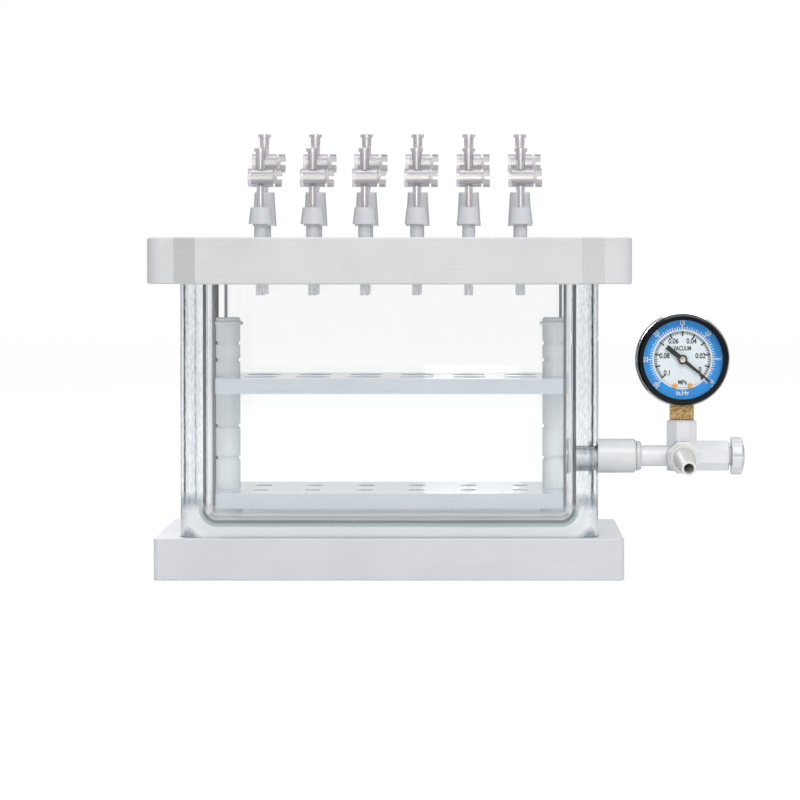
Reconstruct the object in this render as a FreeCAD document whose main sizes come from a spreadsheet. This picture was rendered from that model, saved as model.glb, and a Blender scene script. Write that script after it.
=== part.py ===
import FreeCAD, Part
import math
import os

import Sketcher

# Vacuum manifold for solid phase extraction: a pressed glass tank in a plastic base, a lid with two
# rows of ports and stopcocks, a tube rack on two posts, and a gauge with a bleed valve on the right.
# X is the long way (gauge at +X), -Y is the front, Z is up. The origin is the centre of the base's
# underside. All sizes are millimetres.

DIMENSIONS = {
    # Base tray
    "base_end_margin": 15.0,
    "base_side_margin": 4.5,
    "base_height": 25.0,
    "base_corner": 3.0,
    "base_edge": 0.8,
    "recess_depth": 5.0,
    "recess_clearance": 0.5,
    # Glass tank
    "tank_length": 250.0,
    "tank_depth": 116.0,
    "tank_height": 158.0,
    "tank_wall": 13.0,
    "tank_floor": 11.0,
    "tank_outer_corner": 9.5,
    "tank_inner_corner": 8.0,
    "tank_floor_edge": 7.0,
    "tank_bottom_edge": 8.0,
    "tank_rim_edge": 1.5,
    # Lid and its seal
    "lid_end_overhang": 20.25,
    "lid_side_overhang": 8.0,
    "lid_height": 28.0,
    "lid_ear": 30.75,
    "lid_chamfer": 14.2,
    "lid_corner": 8.5,
    "lid_edge": 0.8,
    "rim_entry": 2.0,
    "rim_clearance": 0.6,
    "gasket_height": 2.5,
    # Ports and their fittings
    "port_pitch": 31.6,
    "port_row_spacing": 34.3,
    "port_bore": 8.1,
    "shank_clearance": 0.05,
    "cone_base": 14.8,
    "cone_top": 12.3,
    "short_neck": 8.0,
    "short_cone": 10.1,
    "tall_neck": 7.0,
    "tall_cone": 20.7,
    "outlet_diameter": 5.3,
    "outlet_length": 7.2,
    "outlet_bore": 2.6,
    # Stopcocks
    "taper_mouth": 4.3,
    "taper_end": 3.9,
    "taper_length": 7.0,
    "tip_clearance": 0.04,
    "leg_diameter": 5.0,
    "leg_step": 1.6,
    "housing_rise": 18.0,
    "housing_diameter": 11.2,
    "housing_left": 7.5,
    "housing_right": 7.7,
    "housing_end_wall": 2.0,
    "plug_diameter": 7.0,
    "plug_clearance": 0.05,
    "plug_end_play": 0.2,
    "flow_bore": 2.4,
    "barrel_top": 5.9,
    "barrel_root": 4.8,
    "inlet_rise": 17.8,
    "lug_diameter": 7.8,
    "lug_height": 1.9,
    "knob_gap": 1.0,
    "knob_length": 4.1,
    "knob_tooth": 3.2,
    "knob_slot": 2.2,
    "knob_socket": 6.2,
    # Tube rack
    "plate_end_gap": 3.5,
    "plate_side_gap": 1.0,
    "plate_thickness": 9.0,
    "plate_corner": 7.0,
    "tube_hole": 21.0,
    "dimple_diameter": 10.4,
    "dimple_depth": 2.5,
    "post_inset": 8.5,
    "post_diameter": 15.0,
    "post_height": 104.5,
    "post_edge": 0.8,
    "slide_clearance": 0.3,
    "foot_diameter": 17.6,
    "foot_height": 10.5,
    "foot_edge": 4.0,
    "spigot_diameter": 9.0,
    "spigot_depth": 7.0,
    "spigot_clearance": 0.05,
    "middle_plate_rise": 68.7,
    "groove_width": 2.2,
    "groove_depth": 1.0,
    "ring_outer": 18.5,
    "ring_edge": 0.5,
    "top_groove_drop": 4.6,
    "upper_groove_drop": 14.6,
    "middle_groove_drop": 24.9,
    "lower_groove_drop": 65.3,
    "bottom_groove_drop": 84.8,
    # Vacuum port through the right wall
    "port_height": 69.8,
    "adaptor_shank": 15.0,
    "adaptor_diameter": 21.0,
    "adaptor_length": 23.6,
    "adaptor_edge": 1.2,
    "adaptor_bore": 8.0,
    "wall_hole_clearance": 0.5,
    "port_seal_thickness": 1.4,
    "port_nut_thickness": 4.2,
    "port_nut_flats": 20.4,
    "collet_diameter": 18.2,
    "collet_length": 2.8,
    "collet_gap": 0.4,
    "tube_diameter": 12.9,
    "tube_wall": 2.0,
    "tube_socket": 8.0,
    "tube_end_play": 0.05,
    # Cross fitting
    "tube_exposed": 16.0,
    "cross_flats": 18.0,
    "cross_up": 22.2,
    "cross_right": 28.8,
    "cross_front": 21.0,
    "cross_edge": 1.3,
    "cross_passage": 6.0,
    # Hose barb
    "barb_flats": 16.4,
    "barb_flange": 2.5,
    "barb_root": 12.6,
    "barb_tip": 8.9,
    "barb_bore": 6.2,
    "barb_length": 27.0,
    "barb_droop": 4.2,
    "barb_sway": 0.9,
    "barb_step": 0.8,
    "barb_spigot": 9.0,
    "barb_spigot_length": 7.0,
    # Bleed valve
    "stem_bore": 9.0,
    "stem_clearance": 0.05,
    "stem_reach": 18.0,
    "stem_cone": 4.0,
    "stem_tip": 2.0,
    "seal_section": 1.4,
    "seal_inset": 5.0,
    "neck_diameter": 11.3,
    "neck_gap": 0.2,
    "neck_length": 1.4,
    "grip_diameter": 23.3,
    "grip_length": 8.2,
    "grip_dome": 2.3,
    "grip_scallop": 3.2,
    "grip_scallop_depth": 1.3,
    # Vacuum gauge
    "gauge_rise": 59.4,
    "socket_width": 14.2,
    "socket_depth": 12.0,
    "socket_thread": 9.8,
    "socket_thread_length": 9.0,
    "case_diameter": 54.0,
    "case_wall": 1.0,
    "case_back": 13.0,
    "case_flange": 58.0,
    "case_flange_width": 3.2,
    "case_flange_roll": 0.9,
    "bezel_diameter": 55.9,
    "bezel_width": 6.2,
    "bezel_lip": 1.4,
    "dial_opening": 48.6,
    "dial_front": 5.6,
    "dial_thickness": 0.6,
    "window_thickness": 1.8,
    "window_gap": 3.4,
    "needle_tip": 21.6,
    "needle_tail": 12.4,
    "needle_hub": 5.8,
    "needle_thickness": 0.5,
    "needle_zero": -38.8,
    "arbor_diameter": 1.4,
    "arbor_clearance": 0.05,
    "bourdon_radius": 18.5,
    "bourdon_width": 5.0,
    "bourdon_thickness": 1.6,
    "movement_width": 12.0,
    "movement_height": 16.0,
    "movement_thickness": 4.0,
    "dial_screw_radius": 16.8,
    "dial_screw_spread": 16.4,
    "dial_screw_head": 3.0,
    "dial_screw_height": 0.9,
    "dial_screw_shank": 2.0,
    "dial_screw_length": 3.0,
    "socket_shoulder": 2.6,
}

PORTS_PER_ROW = 6
GRIP_LOBES = 8
BARB_RINGS = 3
KNOB_SLOTS = 3
BOURDON_SWEEP = 250.0
BARB_TURN = -5.7

doc = FreeCAD.newDocument("spe_vacuum_manifold")
sheet = doc.addObject("Spreadsheet::Sheet", "Sizes")
for row, (alias, millimetres) in enumerate(DIMENSIONS.items(), start=1):
    sheet.set(f"A{row}", alias)
    sheet.set(f"B{row}", str(millimetres))
    sheet.setAlias(f"B{row}", alias)
doc.recompute()


class Length:
    """A number together with the sheet expression that it is worked out from."""

    def __init__(self, number, text=None):
        self.number = float(number)
        self.text = text or f"({self.number})"

    def joined(self, sign, other, number):
        return Length(number, f"({self.text} {sign} {as_length(other).text})")

    def __add__(self, other):
        return self.joined("+", other, self.number + as_length(other).number)

    def __sub__(self, other):
        return self.joined("-", other, self.number - as_length(other).number)

    def __mul__(self, other):
        return self.joined("*", other, self.number * as_length(other).number)

    def __truediv__(self, other):
        return self.joined("/", other, self.number / as_length(other).number)

    def __neg__(self):
        return Length(0.0) - self


def as_length(item):
    return item if isinstance(item, Length) else Length(item)


class Sheet:
    """Gives each cell of the sheet as a Length under its alias."""

    def __getattr__(self, alias):
        return Length(DIMENSIONS[alias], f"Sizes.{alias}")


size = Sheet()


def bind(item, name, value):
    """Tie one property of an object to the sheet."""
    item.setExpression(name, as_length(value).text)


def new_body(label):
    body = doc.addObject("PartDesign::Body", label)
    body.Label = label
    return body


def place(body, x=0.0, y=0.0, z=0.0):
    bind(body, "Placement.Base.x", x)
    bind(body, "Placement.Base.y", y)
    bind(body, "Placement.Base.z", z)


def new_sketch(body, name, plane="XY_Plane", offset=0.0):
    """An empty sketch on one of the body's own origin planes, shifted along its normal."""
    sketch = body.newObject("Sketcher::SketchObject", name)
    support = [item for item in body.Origin.OriginFeatures if item.Role == plane]
    sketch.AttachmentSupport = [(support[0], "")]
    sketch.MapMode = "FlatFace"
    bind(sketch, "AttachmentOffset.Base.z", offset)
    return sketch


def hold_point(sketch, edge, end, x, y):
    """Fix one end of an edge (or a centre) by its two distances from the sketch's origin."""
    for kind, value in (("DistanceX", as_length(x)), ("DistanceY", as_length(y))):
        index = sketch.addConstraint(Sketcher.Constraint(kind, edge, end, value.number))
        bind(sketch, f"Constraints[{index}]", value)


def add_outline(sketch, corners):
    """A closed outline of straight edges through the corners."""
    first = sketch.GeometryCount
    spots = [FreeCAD.Vector(as_length(x).number, as_length(y).number, 0.0) for x, y in corners]
    count = len(corners)
    for index in range(count):
        sketch.addGeometry(Part.LineSegment(spots[index], spots[(index + 1) % count]), False)
    for index in range(count):
        following = first + (index + 1) % count
        sketch.addConstraint(Sketcher.Constraint("Coincident", first + index, 2, following, 1))
    for index, (x, y) in enumerate(corners):
        hold_point(sketch, first + index, 1, x, y)


def add_box(sketch, left, right, low, high):
    add_outline(sketch, [(left, low), (right, low), (right, high), (left, high)])


def add_centred_box(sketch, width, height):
    add_box(sketch, -width / 2, width / 2, -height / 2, height / 2)


def add_rounded_box(sketch, width, height, radius):
    """A box about the origin whose corners are arcs."""
    half_x, half_y, curve = as_length(width) / 2, as_length(height) / 2, as_length(radius)
    near_x, near_y = half_x - curve, half_y - curve
    sides = [
        ((-near_x, -half_y), (near_x, -half_y), (near_x, -near_y)),
        ((half_x, -near_y), (half_x, near_y), (near_x, near_y)),
        ((near_x, half_y), (-near_x, half_y), (-near_x, near_y)),
        ((-half_x, near_y), (-half_x, -near_y), (-near_x, -near_y)),
    ]
    first = sketch.GeometryCount
    normal = FreeCAD.Vector(0.0, 0.0, 1.0)
    for index, points in enumerate(sides):
        start, end, centre = [FreeCAD.Vector(x.number, y.number, 0.0) for x, y in points]
        sketch.addGeometry(Part.LineSegment(start, end), False)
        circle = Part.Circle(centre, normal, curve.number)
        turn = math.pi / 2 * (index - 1)
        sketch.addGeometry(Part.ArcOfCircle(circle, turn, turn + math.pi / 2), False)
    for index, (start, end, centre) in enumerate(sides):
        line = first + index * 2
        following = first + (index + 1) % 4 * 2
        hold_point(sketch, line, 1, *start)
        hold_point(sketch, line, 2, *end)
        sketch.addConstraint(Sketcher.Constraint("Coincident", line, 2, line + 1, 1))
        sketch.addConstraint(Sketcher.Constraint("Coincident", line + 1, 2, following, 1))
        rule = sketch.addConstraint(Sketcher.Constraint("Radius", line + 1, curve.number))
        bind(sketch, f"Constraints[{rule}]", curve)


def add_circle(sketch, x, y, diameter):
    centre = FreeCAD.Vector(as_length(x).number, as_length(y).number, 0.0)
    radius = as_length(diameter) / 2
    normal = FreeCAD.Vector(0.0, 0.0, 1.0)
    index = sketch.addGeometry(Part.Circle(centre, normal, radius.number), False)
    rule = sketch.addConstraint(Sketcher.Constraint("Radius", index, radius.number))
    bind(sketch, f"Constraints[{rule}]", radius)
    hold_point(sketch, index, 3, x, y)


def add_octagon(sketch, flats):
    """A regular octagon about the origin, with the given distance across its flats."""
    near = flats / 2 * math.tan(math.radians(22.5))
    far = flats / 2
    add_outline(sketch, [
        (near, -far), (far, -near), (far, near), (near, far),
        (-near, far), (-far, near), (-far, -near), (-near, -far),
    ])


def pad(body, name, sketch, length, reverse=False):
    feature = body.newObject("PartDesign::Pad", name)
    feature.Profile = sketch
    feature.Reversed = reverse
    bind(feature, "Length", length)
    return feature


def pocket(body, name, sketch, depth, reverse=False):
    feature = body.newObject("PartDesign::Pocket", name)
    feature.Profile = sketch
    feature.Reversed = reverse
    bind(feature, "Length", depth)
    return feature


def pocket_through(body, name, sketch):
    feature = body.newObject("PartDesign::Pocket", name)
    feature.Profile = sketch
    feature.Type = "ThroughAll"
    feature.Midplane = True
    return feature


def revolve(body, name, sketch, axis, angle=360.0):
    feature = body.newObject("PartDesign::Revolution", name)
    feature.Profile = sketch
    feature.ReferenceAxis = (sketch, [axis])
    feature.Angle = angle
    return feature


def groove(body, name, sketch, axis):
    feature = body.newObject("PartDesign::Groove", name)
    feature.Profile = sketch
    feature.ReferenceAxis = (sketch, [axis])
    feature.Angle = 360.0
    return feature


def dress(body, name, kind, base, test, amount, only_along=None):
    """A fillet or a chamfer on the edges of the base feature that pass the test."""
    doc.recompute()
    edges = [f"Edge{index}" for index, edge in enumerate(base.Shape.Edges, start=1)
             if test(edge) and (only_along is None or runs_along(edge, only_along))]
    feature = body.newObject(f"PartDesign::{kind}", name)
    feature.Base = (base, edges)
    bind(feature, "Radius" if kind == "Fillet" else "Size", amount)
    return feature


def runs_along(edge, axis):
    """True for a straight edge parallel to the X, Y or Z axis."""
    if edge.Curve.TypeId != "Part::GeomLine":
        return False
    return abs(abs(getattr(edge.Curve.Direction, axis)) - 1.0) < 1e-6


def lies_at(edge, axis, value):
    """True for an edge whose points all have the given X, Y or Z."""
    low = getattr(edge.BoundBox, f"{axis.upper()}Min")
    high = getattr(edge.BoundBox, f"{axis.upper()}Max")
    target = as_length(value).number
    return abs(low - target) < 1e-4 and abs(high - target) < 1e-4


def port_offset(index):
    """How far along the row a port stands from its middle."""
    return size.port_pitch * (index - (PORTS_PER_ROW - 1) / 2)


def add_port_grid(sketch, diameter):
    """One circle under every port of both rows."""
    for side in (-1, 1):
        for index in range(PORTS_PER_ROW):
            add_circle(sketch, port_offset(index), size.port_row_spacing * (side / 2), diameter)


TANK_BOTTOM = size.base_height - size.recess_depth
TANK_INSIDE = TANK_BOTTOM + size.tank_floor
TANK_RIM = TANK_BOTTOM + size.tank_height
INNER_LENGTH = size.tank_length - size.tank_wall * 2
INNER_DEPTH = size.tank_depth - size.tank_wall * 2
LID_BOTTOM = TANK_RIM - size.rim_entry
LID_TOP = LID_BOTTOM + size.lid_height
LID_LENGTH = size.tank_length + size.lid_end_overhang * 2
LID_DEPTH = size.tank_depth + size.lid_side_overhang * 2


# Base tray: a milled plastic slab with a shallow recess that the tank stands in.
def make_base_tray():
    body = new_body("base_tray")
    plan = new_sketch(body, "base_plan")
    add_rounded_box(plan, size.tank_length + size.base_end_margin * 2,
                    size.tank_depth + size.base_side_margin * 2, size.base_corner)
    slab = pad(body, "base_slab", plan, size.base_height)
    dress(body, "base_edges", "Fillet", slab,
          lambda edge: lies_at(edge, "z", 0.0) or lies_at(edge, "z", size.base_height),
          size.base_edge)
    recess = new_sketch(body, "base_recess_plan", offset=size.base_height)
    add_rounded_box(recess, size.tank_length + size.recess_clearance * 2,
                    size.tank_depth + size.recess_clearance * 2,
                    size.tank_outer_corner + size.recess_clearance)
    pocket(body, "base_recess", recess, size.recess_depth)
    return body


# Glass tank: thick pressed glass with rounded corners and a drilled hole for the vacuum port.
def make_glass_tank():
    body = new_body("glass_tank")
    place(body, z=TANK_BOTTOM)
    plan = new_sketch(body, "tank_plan")
    add_rounded_box(plan, size.tank_length, size.tank_depth, size.tank_outer_corner)
    pad(body, "tank_block", plan, size.tank_height)
    hollow = new_sketch(body, "tank_hollow_plan", offset=size.tank_height)
    add_rounded_box(hollow, INNER_LENGTH, INNER_DEPTH, size.tank_inner_corner)
    cut = pocket(body, "tank_hollow", hollow, size.tank_height - size.tank_floor)
    floor = dress(body, "tank_floor_edge", "Fillet", cut,
                  lambda edge: lies_at(edge, "z", size.tank_floor), size.tank_floor_edge)
    floor = dress(body, "tank_bottom_edge", "Fillet", floor,
                  lambda edge: lies_at(edge, "z", 0.0), size.tank_bottom_edge)
    dress(body, "tank_rim", "Fillet", floor,
          lambda edge: lies_at(edge, "z", size.tank_height), size.tank_rim_edge)
    hole = new_sketch(body, "tank_hole_circle", "YZ_Plane", size.tank_length / 2)
    add_circle(hole, 0.0, size.port_height - TANK_BOTTOM,
               size.adaptor_shank + size.wall_hole_clearance * 2)
    pocket(body, "tank_hole", hole, size.tank_wall * 1.5)
    return body


# Lid: a milled plastic slab with stepped end grips, a seal groove underneath and the port holes.
def make_lid():
    body = new_body("lid")
    place(body, z=LID_BOTTOM)
    plan = new_sketch(body, "lid_plan")
    end = LID_LENGTH / 2
    side = LID_DEPTH / 2
    front = end - size.lid_ear
    ear = front + size.lid_chamfer
    step = side - size.lid_chamfer
    add_outline(plan, [
        (-front, -side), (front, -side), (ear, -step), (end, -step),
        (end, step), (ear, step), (front, side), (-front, side),
        (-ear, step), (-end, step), (-end, -step), (-ear, -step),
    ])
    slab = pad(body, "lid_slab", plan, size.lid_height)
    rounded = dress(body, "lid_corners", "Fillet", slab,
                    lambda edge: lies_at(edge, "x", -end) or lies_at(edge, "x", end),
                    size.lid_corner, only_along="z")
    dress(body, "lid_edges", "Chamfer", rounded,
          lambda edge: lies_at(edge, "z", 0.0) or lies_at(edge, "z", size.lid_height),
          size.lid_edge)
    seat = new_sketch(body, "lid_groove_plan")
    add_rounded_box(seat, size.tank_length + size.rim_clearance * 2,
                    size.tank_depth + size.rim_clearance * 2,
                    size.tank_outer_corner + size.rim_clearance)
    add_rounded_box(seat, INNER_LENGTH - size.rim_clearance * 2, INNER_DEPTH - size.rim_clearance * 2,
                    size.tank_inner_corner - size.rim_clearance)
    pocket(body, "lid_groove", seat, size.rim_entry + size.gasket_height, reverse=True)
    holes = new_sketch(body, "lid_port_circles")
    add_port_grid(holes, size.port_bore)
    pocket(body, "lid_ports", holes, size.lid_height, reverse=True)
    return body


# Lid gasket: a flat rubber frame in the lid's groove that lies on the tank's rim.
def make_lid_gasket():
    body = new_body("lid_gasket")
    place(body, z=TANK_RIM)
    plan = new_sketch(body, "gasket_plan")
    add_rounded_box(plan, size.tank_length, size.tank_depth, size.tank_outer_corner)
    add_rounded_box(plan, INNER_LENGTH, INNER_DEPTH, size.tank_inner_corner)
    pad(body, "gasket_frame", plan, size.gasket_height)
    return body


# Port fittings: turned plastic cones with a Luer seat on top and an outlet stub under the lid.
# Each row is one moulding's shape repeated, short in front and tall behind.
def make_port_fittings(label, side, neck, cone):
    body = new_body(label)
    place(body, port_offset(0), size.port_row_spacing * (side / 2), LID_TOP)
    profile = new_sketch(body, label + "_profile", "XZ_Plane")
    shank = size.port_bore / 2 - size.shank_clearance
    outlet = size.outlet_diameter / 2
    bore = size.outlet_bore / 2
    top = neck + cone
    seat = top - size.taper_length
    add_outline(profile, [
        (bore, -size.lid_height - size.outlet_length),
        (outlet, -size.lid_height - size.outlet_length),
        (outlet, -size.lid_height),
        (shank, -size.lid_height),
        (shank, neck),
        (size.cone_base / 2, neck),
        (size.cone_top / 2, top),
        (size.taper_mouth / 2, top),
        (size.taper_end / 2, seat),
        (bore, seat),
    ])
    turned = revolve(body, label + "_turned", profile, "V_Axis")
    row = body.newObject("PartDesign::LinearPattern", label + "_row")
    row.Originals = [turned]
    row.Direction = (profile, ["H_Axis"])
    bind(row, "Length", size.port_pitch * (PORTS_PER_ROW - 1))
    row.Occurrences = PORTS_PER_ROW
    body.Tip = row
    return body


# Stopcock body: a clear moulding with a Luer inlet on top, a cross housing for the plug and a Luer
# tip below. Its local origin is the top of the port fitting, with X along the plug.
def make_stopcock_body(label, x, y, z):
    body = new_body(label)
    place(body, x, y, z)
    profile = new_sketch(body, label + "_profile", "XZ_Plane")
    top = size.housing_rise + size.inlet_rise
    tip_top = size.taper_mouth / 2 - size.tip_clearance
    tip_end = size.taper_end / 2 - size.tip_clearance
    leg = size.leg_diameter / 2
    add_outline(profile, [
        (0.0, -size.taper_length),
        (tip_end, -size.taper_length),
        (tip_top, 0.0),
        (tip_top, size.leg_step),
        (leg, size.leg_step),
        (leg, size.housing_rise),
        (size.barrel_root / 2, size.housing_rise),
        (size.barrel_top / 2, top - size.lug_height),
        (size.lug_diameter / 2, top - size.lug_height),
        (size.lug_diameter / 2, top),
        (0.0, top),
    ])
    revolve(body, label + "_upright", profile, "V_Axis")
    across = new_sketch(body, label + "_housing_circle", "YZ_Plane", -size.housing_left)
    add_circle(across, 0.0, size.housing_rise, size.housing_diameter)
    pad(body, label + "_housing", across, size.housing_left + size.housing_right)
    plug_seat = new_sketch(body, label + "_plug_circle", "YZ_Plane", size.housing_right)
    add_circle(plug_seat, 0.0, size.housing_rise, size.plug_diameter + size.plug_clearance * 2)
    pocket(body, label + "_plug_seat", plug_seat,
           size.housing_left + size.housing_right - size.housing_end_wall)
    flow = new_sketch(body, label + "_flow_profile", "XZ_Plane")
    passage = size.flow_bore / 2
    add_outline(flow, [
        (0.0, -size.taper_length),
        (passage, -size.taper_length),
        (passage, top - size.taper_length),
        (size.taper_end / 2, top - size.taper_length),
        (size.taper_mouth / 2, top),
        (0.0, top),
    ])
    body.Tip = groove(body, label + "_flow", flow, "V_Axis")
    return body


# Stopcock plug: a cross-drilled barrel with a crown-shaped grip, in line with the housing.
def make_stopcock_plug(label, x, y, z):
    body = new_body(label)
    place(body, x, y, z + size.housing_rise)
    profile = new_sketch(body, label + "_profile", "XZ_Plane")
    inner_end = -size.housing_left + size.housing_end_wall + size.plug_end_play
    grip_start = size.housing_right + size.knob_gap
    grip_end = grip_start + size.knob_length
    grip = size.housing_diameter / 2
    barrel = size.plug_diameter / 2
    add_outline(profile, [
        (inner_end, 0.0),
        (inner_end, barrel),
        (grip_start, barrel),
        (grip_start, grip),
        (grip_end, grip),
        (grip_end, size.knob_socket / 2),
        (grip_end - size.knob_tooth, size.knob_socket / 2),
        (grip_end - size.knob_tooth, 0.0),
    ])
    turned = revolve(body, label + "_turned", profile, "H_Axis")
    slot = new_sketch(body, label + "_slot_plan", "YZ_Plane", grip_end)
    add_centred_box(slot, size.housing_diameter * 1.1, size.knob_slot)
    cut = pocket(body, label + "_slot", slot, size.knob_tooth)
    crown = body.newObject("PartDesign::PolarPattern", label + "_crown")
    crown.Originals = [cut]
    crown.Axis = (profile, ["H_Axis"])
    crown.Angle = 360.0 / KNOB_SLOTS * (KNOB_SLOTS - 1) / 2
    crown.Occurrences = KNOB_SLOTS
    body.Tip = crown
    drilling = new_sketch(body, label + "_flow_circle")
    add_circle(drilling, 0.0, 0.0, size.flow_bore)
    body.Tip = pocket_through(body, label + "_flow", drilling)
    return body


PLATE_LENGTH = INNER_LENGTH - size.plate_end_gap * 2
PLATE_DEPTH = INNER_DEPTH - size.plate_side_gap * 2
PLATE_GAP = size.middle_plate_rise - size.plate_thickness
POST_SPACING = PLATE_LENGTH - size.post_inset * 2
RACK_PLATE_BOTTOM = TANK_INSIDE + size.foot_height
RACK_PLATE_TOP = RACK_PLATE_BOTTOM + size.plate_thickness
MIDDLE_PLATE_BOTTOM = RACK_PLATE_BOTTOM + size.middle_plate_rise


def make_plate_blank(body, label):
    plan = new_sketch(body, label + "_plan")
    add_rounded_box(plan, PLATE_LENGTH, PLATE_DEPTH, size.plate_corner)
    return pad(body, label + "_blank", plan, size.plate_thickness)


# Bottom rack plate: round-bottomed tubes stand in its dimples, the posts pass through its ends.
def make_bottom_plate():
    body = new_body("rack_bottom_plate")
    place(body, z=RACK_PLATE_BOTTOM)
    make_plate_blank(body, "bottom_plate")
    dimples = new_sketch(body, "dimple_circles", offset=size.plate_thickness)
    add_port_grid(dimples, size.dimple_diameter)
    pocket(body, "dimples", dimples, size.dimple_depth)
    seats = new_sketch(body, "spigot_circles", offset=size.plate_thickness)
    for side in (-1, 1):
        add_circle(seats, POST_SPACING * (side / 2), 0.0,
                   size.spigot_diameter + size.spigot_clearance * 2)
    pocket(body, "spigot_holes", seats, size.plate_thickness)
    return body


# Middle rack plate: holds the tubes upright and slides on the two posts.
def make_middle_plate():
    body = new_body("rack_middle_plate")
    place(body, z=MIDDLE_PLATE_BOTTOM)
    make_plate_blank(body, "middle_plate")
    holes = new_sketch(body, "tube_circles", offset=size.plate_thickness)
    add_port_grid(holes, size.tube_hole)
    for side in (-1, 1):
        add_circle(holes, POST_SPACING * (side / 2), 0.0,
                   size.post_diameter + size.slide_clearance * 2)
    pocket(body, "tube_holes", holes, size.plate_thickness)
    return body


# Rack posts: turned plastic rods with ring grooves, a spigot through the bottom plate into a foot.
def make_post(label, side):
    body = new_body(label)
    place(body, POST_SPACING * (side / 2), 0.0, RACK_PLATE_TOP)
    height = size.post_height
    radius = size.post_diameter / 2
    spigot = size.spigot_diameter / 2
    spigot_end = -size.plate_thickness - size.spigot_depth
    profile = new_sketch(body, label + "_profile", "XZ_Plane")
    add_outline(profile, [
        (0.0, spigot_end),
        (spigot, spigot_end),
        (spigot, 0.0),
        (radius, 0.0),
        (radius, height - size.post_edge),
        (radius - size.post_edge, height),
        (0.0, height),
    ])
    revolve(body, label + "_turned", profile, "V_Axis")
    cuts = new_sketch(body, label + "_groove_profile", "XZ_Plane")
    floor = radius - size.groove_depth
    tops = [height - size.top_groove_drop + size.groove_width,
            height - size.upper_groove_drop,
            height - size.middle_groove_drop,
            PLATE_GAP,
            height - size.lower_groove_drop,
            height - size.bottom_groove_drop]
    for top in tops:
        add_box(cuts, floor, radius + size.groove_depth, top - size.groove_width, top)
    body.Tip = groove(body, label + "_grooves", cuts, "V_Axis")
    return body


# Rack feet: turned discs screwed on the spigots under the bottom plate.
def make_foot(label, side):
    body = new_body(label)
    place(body, POST_SPACING * (side / 2), 0.0, TANK_INSIDE)
    spigot = size.spigot_diameter / 2 + size.spigot_clearance
    floor = size.foot_height - size.spigot_depth - size.spigot_clearance
    profile = new_sketch(body, label + "_profile", "XZ_Plane")
    rim = size.foot_diameter / 2
    add_outline(profile, [
        (0.0, 0.0),
        (rim - size.foot_edge, 0.0),
        (rim, size.foot_edge),
        (rim, size.foot_height),
        (spigot, size.foot_height),
        (spigot, floor),
        (0.0, floor),
    ])
    revolve(body, label + "_turned", profile, "V_Axis")
    return body


# Plate rings: a pair snapped in matching grooves of the two posts.
def make_ring_pair(label, top):
    body = new_body(label)
    place(body, -POST_SPACING / 2, 0.0, top - size.groove_width)
    profile = new_sketch(body, label + "_profile", "XZ_Plane")
    inner = size.post_diameter / 2 - size.groove_depth + size.spigot_clearance
    outer = size.ring_outer / 2
    edge = size.ring_edge
    height = size.groove_width
    add_outline(profile, [
        (inner, 0.0),
        (outer - edge, 0.0),
        (outer, edge),
        (outer, height - edge),
        (outer - edge, height),
        (inner, height),
    ])
    turned = revolve(body, label + "_turned", profile, "V_Axis")
    pair = body.newObject("PartDesign::LinearPattern", label + "_pair")
    pair.Originals = [turned]
    pair.Direction = (profile, ["H_Axis"])
    bind(pair, "Length", POST_SPACING)
    pair.Occurrences = 2
    body.Tip = pair
    return body


WALL_OUTSIDE = size.tank_length / 2
WALL_INSIDE = WALL_OUTSIDE - size.tank_wall
ADAPTOR_START = WALL_OUTSIDE + size.port_seal_thickness
ADAPTOR_END = ADAPTOR_START + size.adaptor_length
COLLET_START = ADAPTOR_END + size.collet_gap
CROSS_LEFT = COLLET_START + size.collet_length + size.tube_exposed
CROSS_X = CROSS_LEFT + size.cross_flats / 2


# Port adaptor: a moulded bulkhead fitting whose threaded shank passes through the glass wall.
def make_port_adaptor():
    body = new_body("port_adaptor")
    place(body, z=size.port_height)
    profile = new_sketch(body, "adaptor_profile", "XZ_Plane")
    shank_end = WALL_INSIDE - size.port_nut_thickness
    outer = size.adaptor_diameter / 2
    shank = size.adaptor_shank / 2
    bore = size.adaptor_bore / 2
    socket = size.tube_diameter / 2 + size.tube_end_play
    socket_floor = ADAPTOR_END - size.tube_socket
    add_outline(profile, [
        (shank_end, bore),
        (shank_end, shank),
        (ADAPTOR_START, shank),
        (ADAPTOR_START, outer),
        (ADAPTOR_END - size.adaptor_edge, outer),
        (ADAPTOR_END, outer - size.adaptor_edge),
        (ADAPTOR_END, socket),
        (socket_floor, socket),
        (socket_floor, bore),
    ])
    revolve(body, "adaptor_turned", profile, "H_Axis")
    return body


# Port seal: a flat rubber washer between the adaptor's shoulder and the glass.
def make_port_seal():
    body = new_body("port_seal")
    place(body, z=size.port_height)
    ring = new_sketch(body, "port_seal_circles", "YZ_Plane", WALL_OUTSIDE)
    add_circle(ring, 0.0, 0.0, size.adaptor_diameter)
    add_circle(ring, 0.0, 0.0, size.adaptor_shank + size.shank_clearance * 2)
    pad(body, "port_seal_washer", ring, size.port_seal_thickness)
    return body


# Port nut: an octagonal plastic nut that clamps the adaptor from inside the tank.
def make_port_nut():
    body = new_body("port_nut")
    place(body, z=size.port_height)
    outline = new_sketch(body, "port_nut_outline", "YZ_Plane", WALL_INSIDE)
    add_octagon(outline, size.port_nut_flats)
    pad(body, "port_nut_blank", outline, size.port_nut_thickness, reverse=True)
    bore = new_sketch(body, "port_nut_bore", "YZ_Plane", WALL_INSIDE)
    add_circle(bore, 0.0, 0.0, size.adaptor_shank + size.shank_clearance * 2)
    pocket(body, "port_nut_hole", bore, size.port_nut_thickness)
    return body


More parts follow.
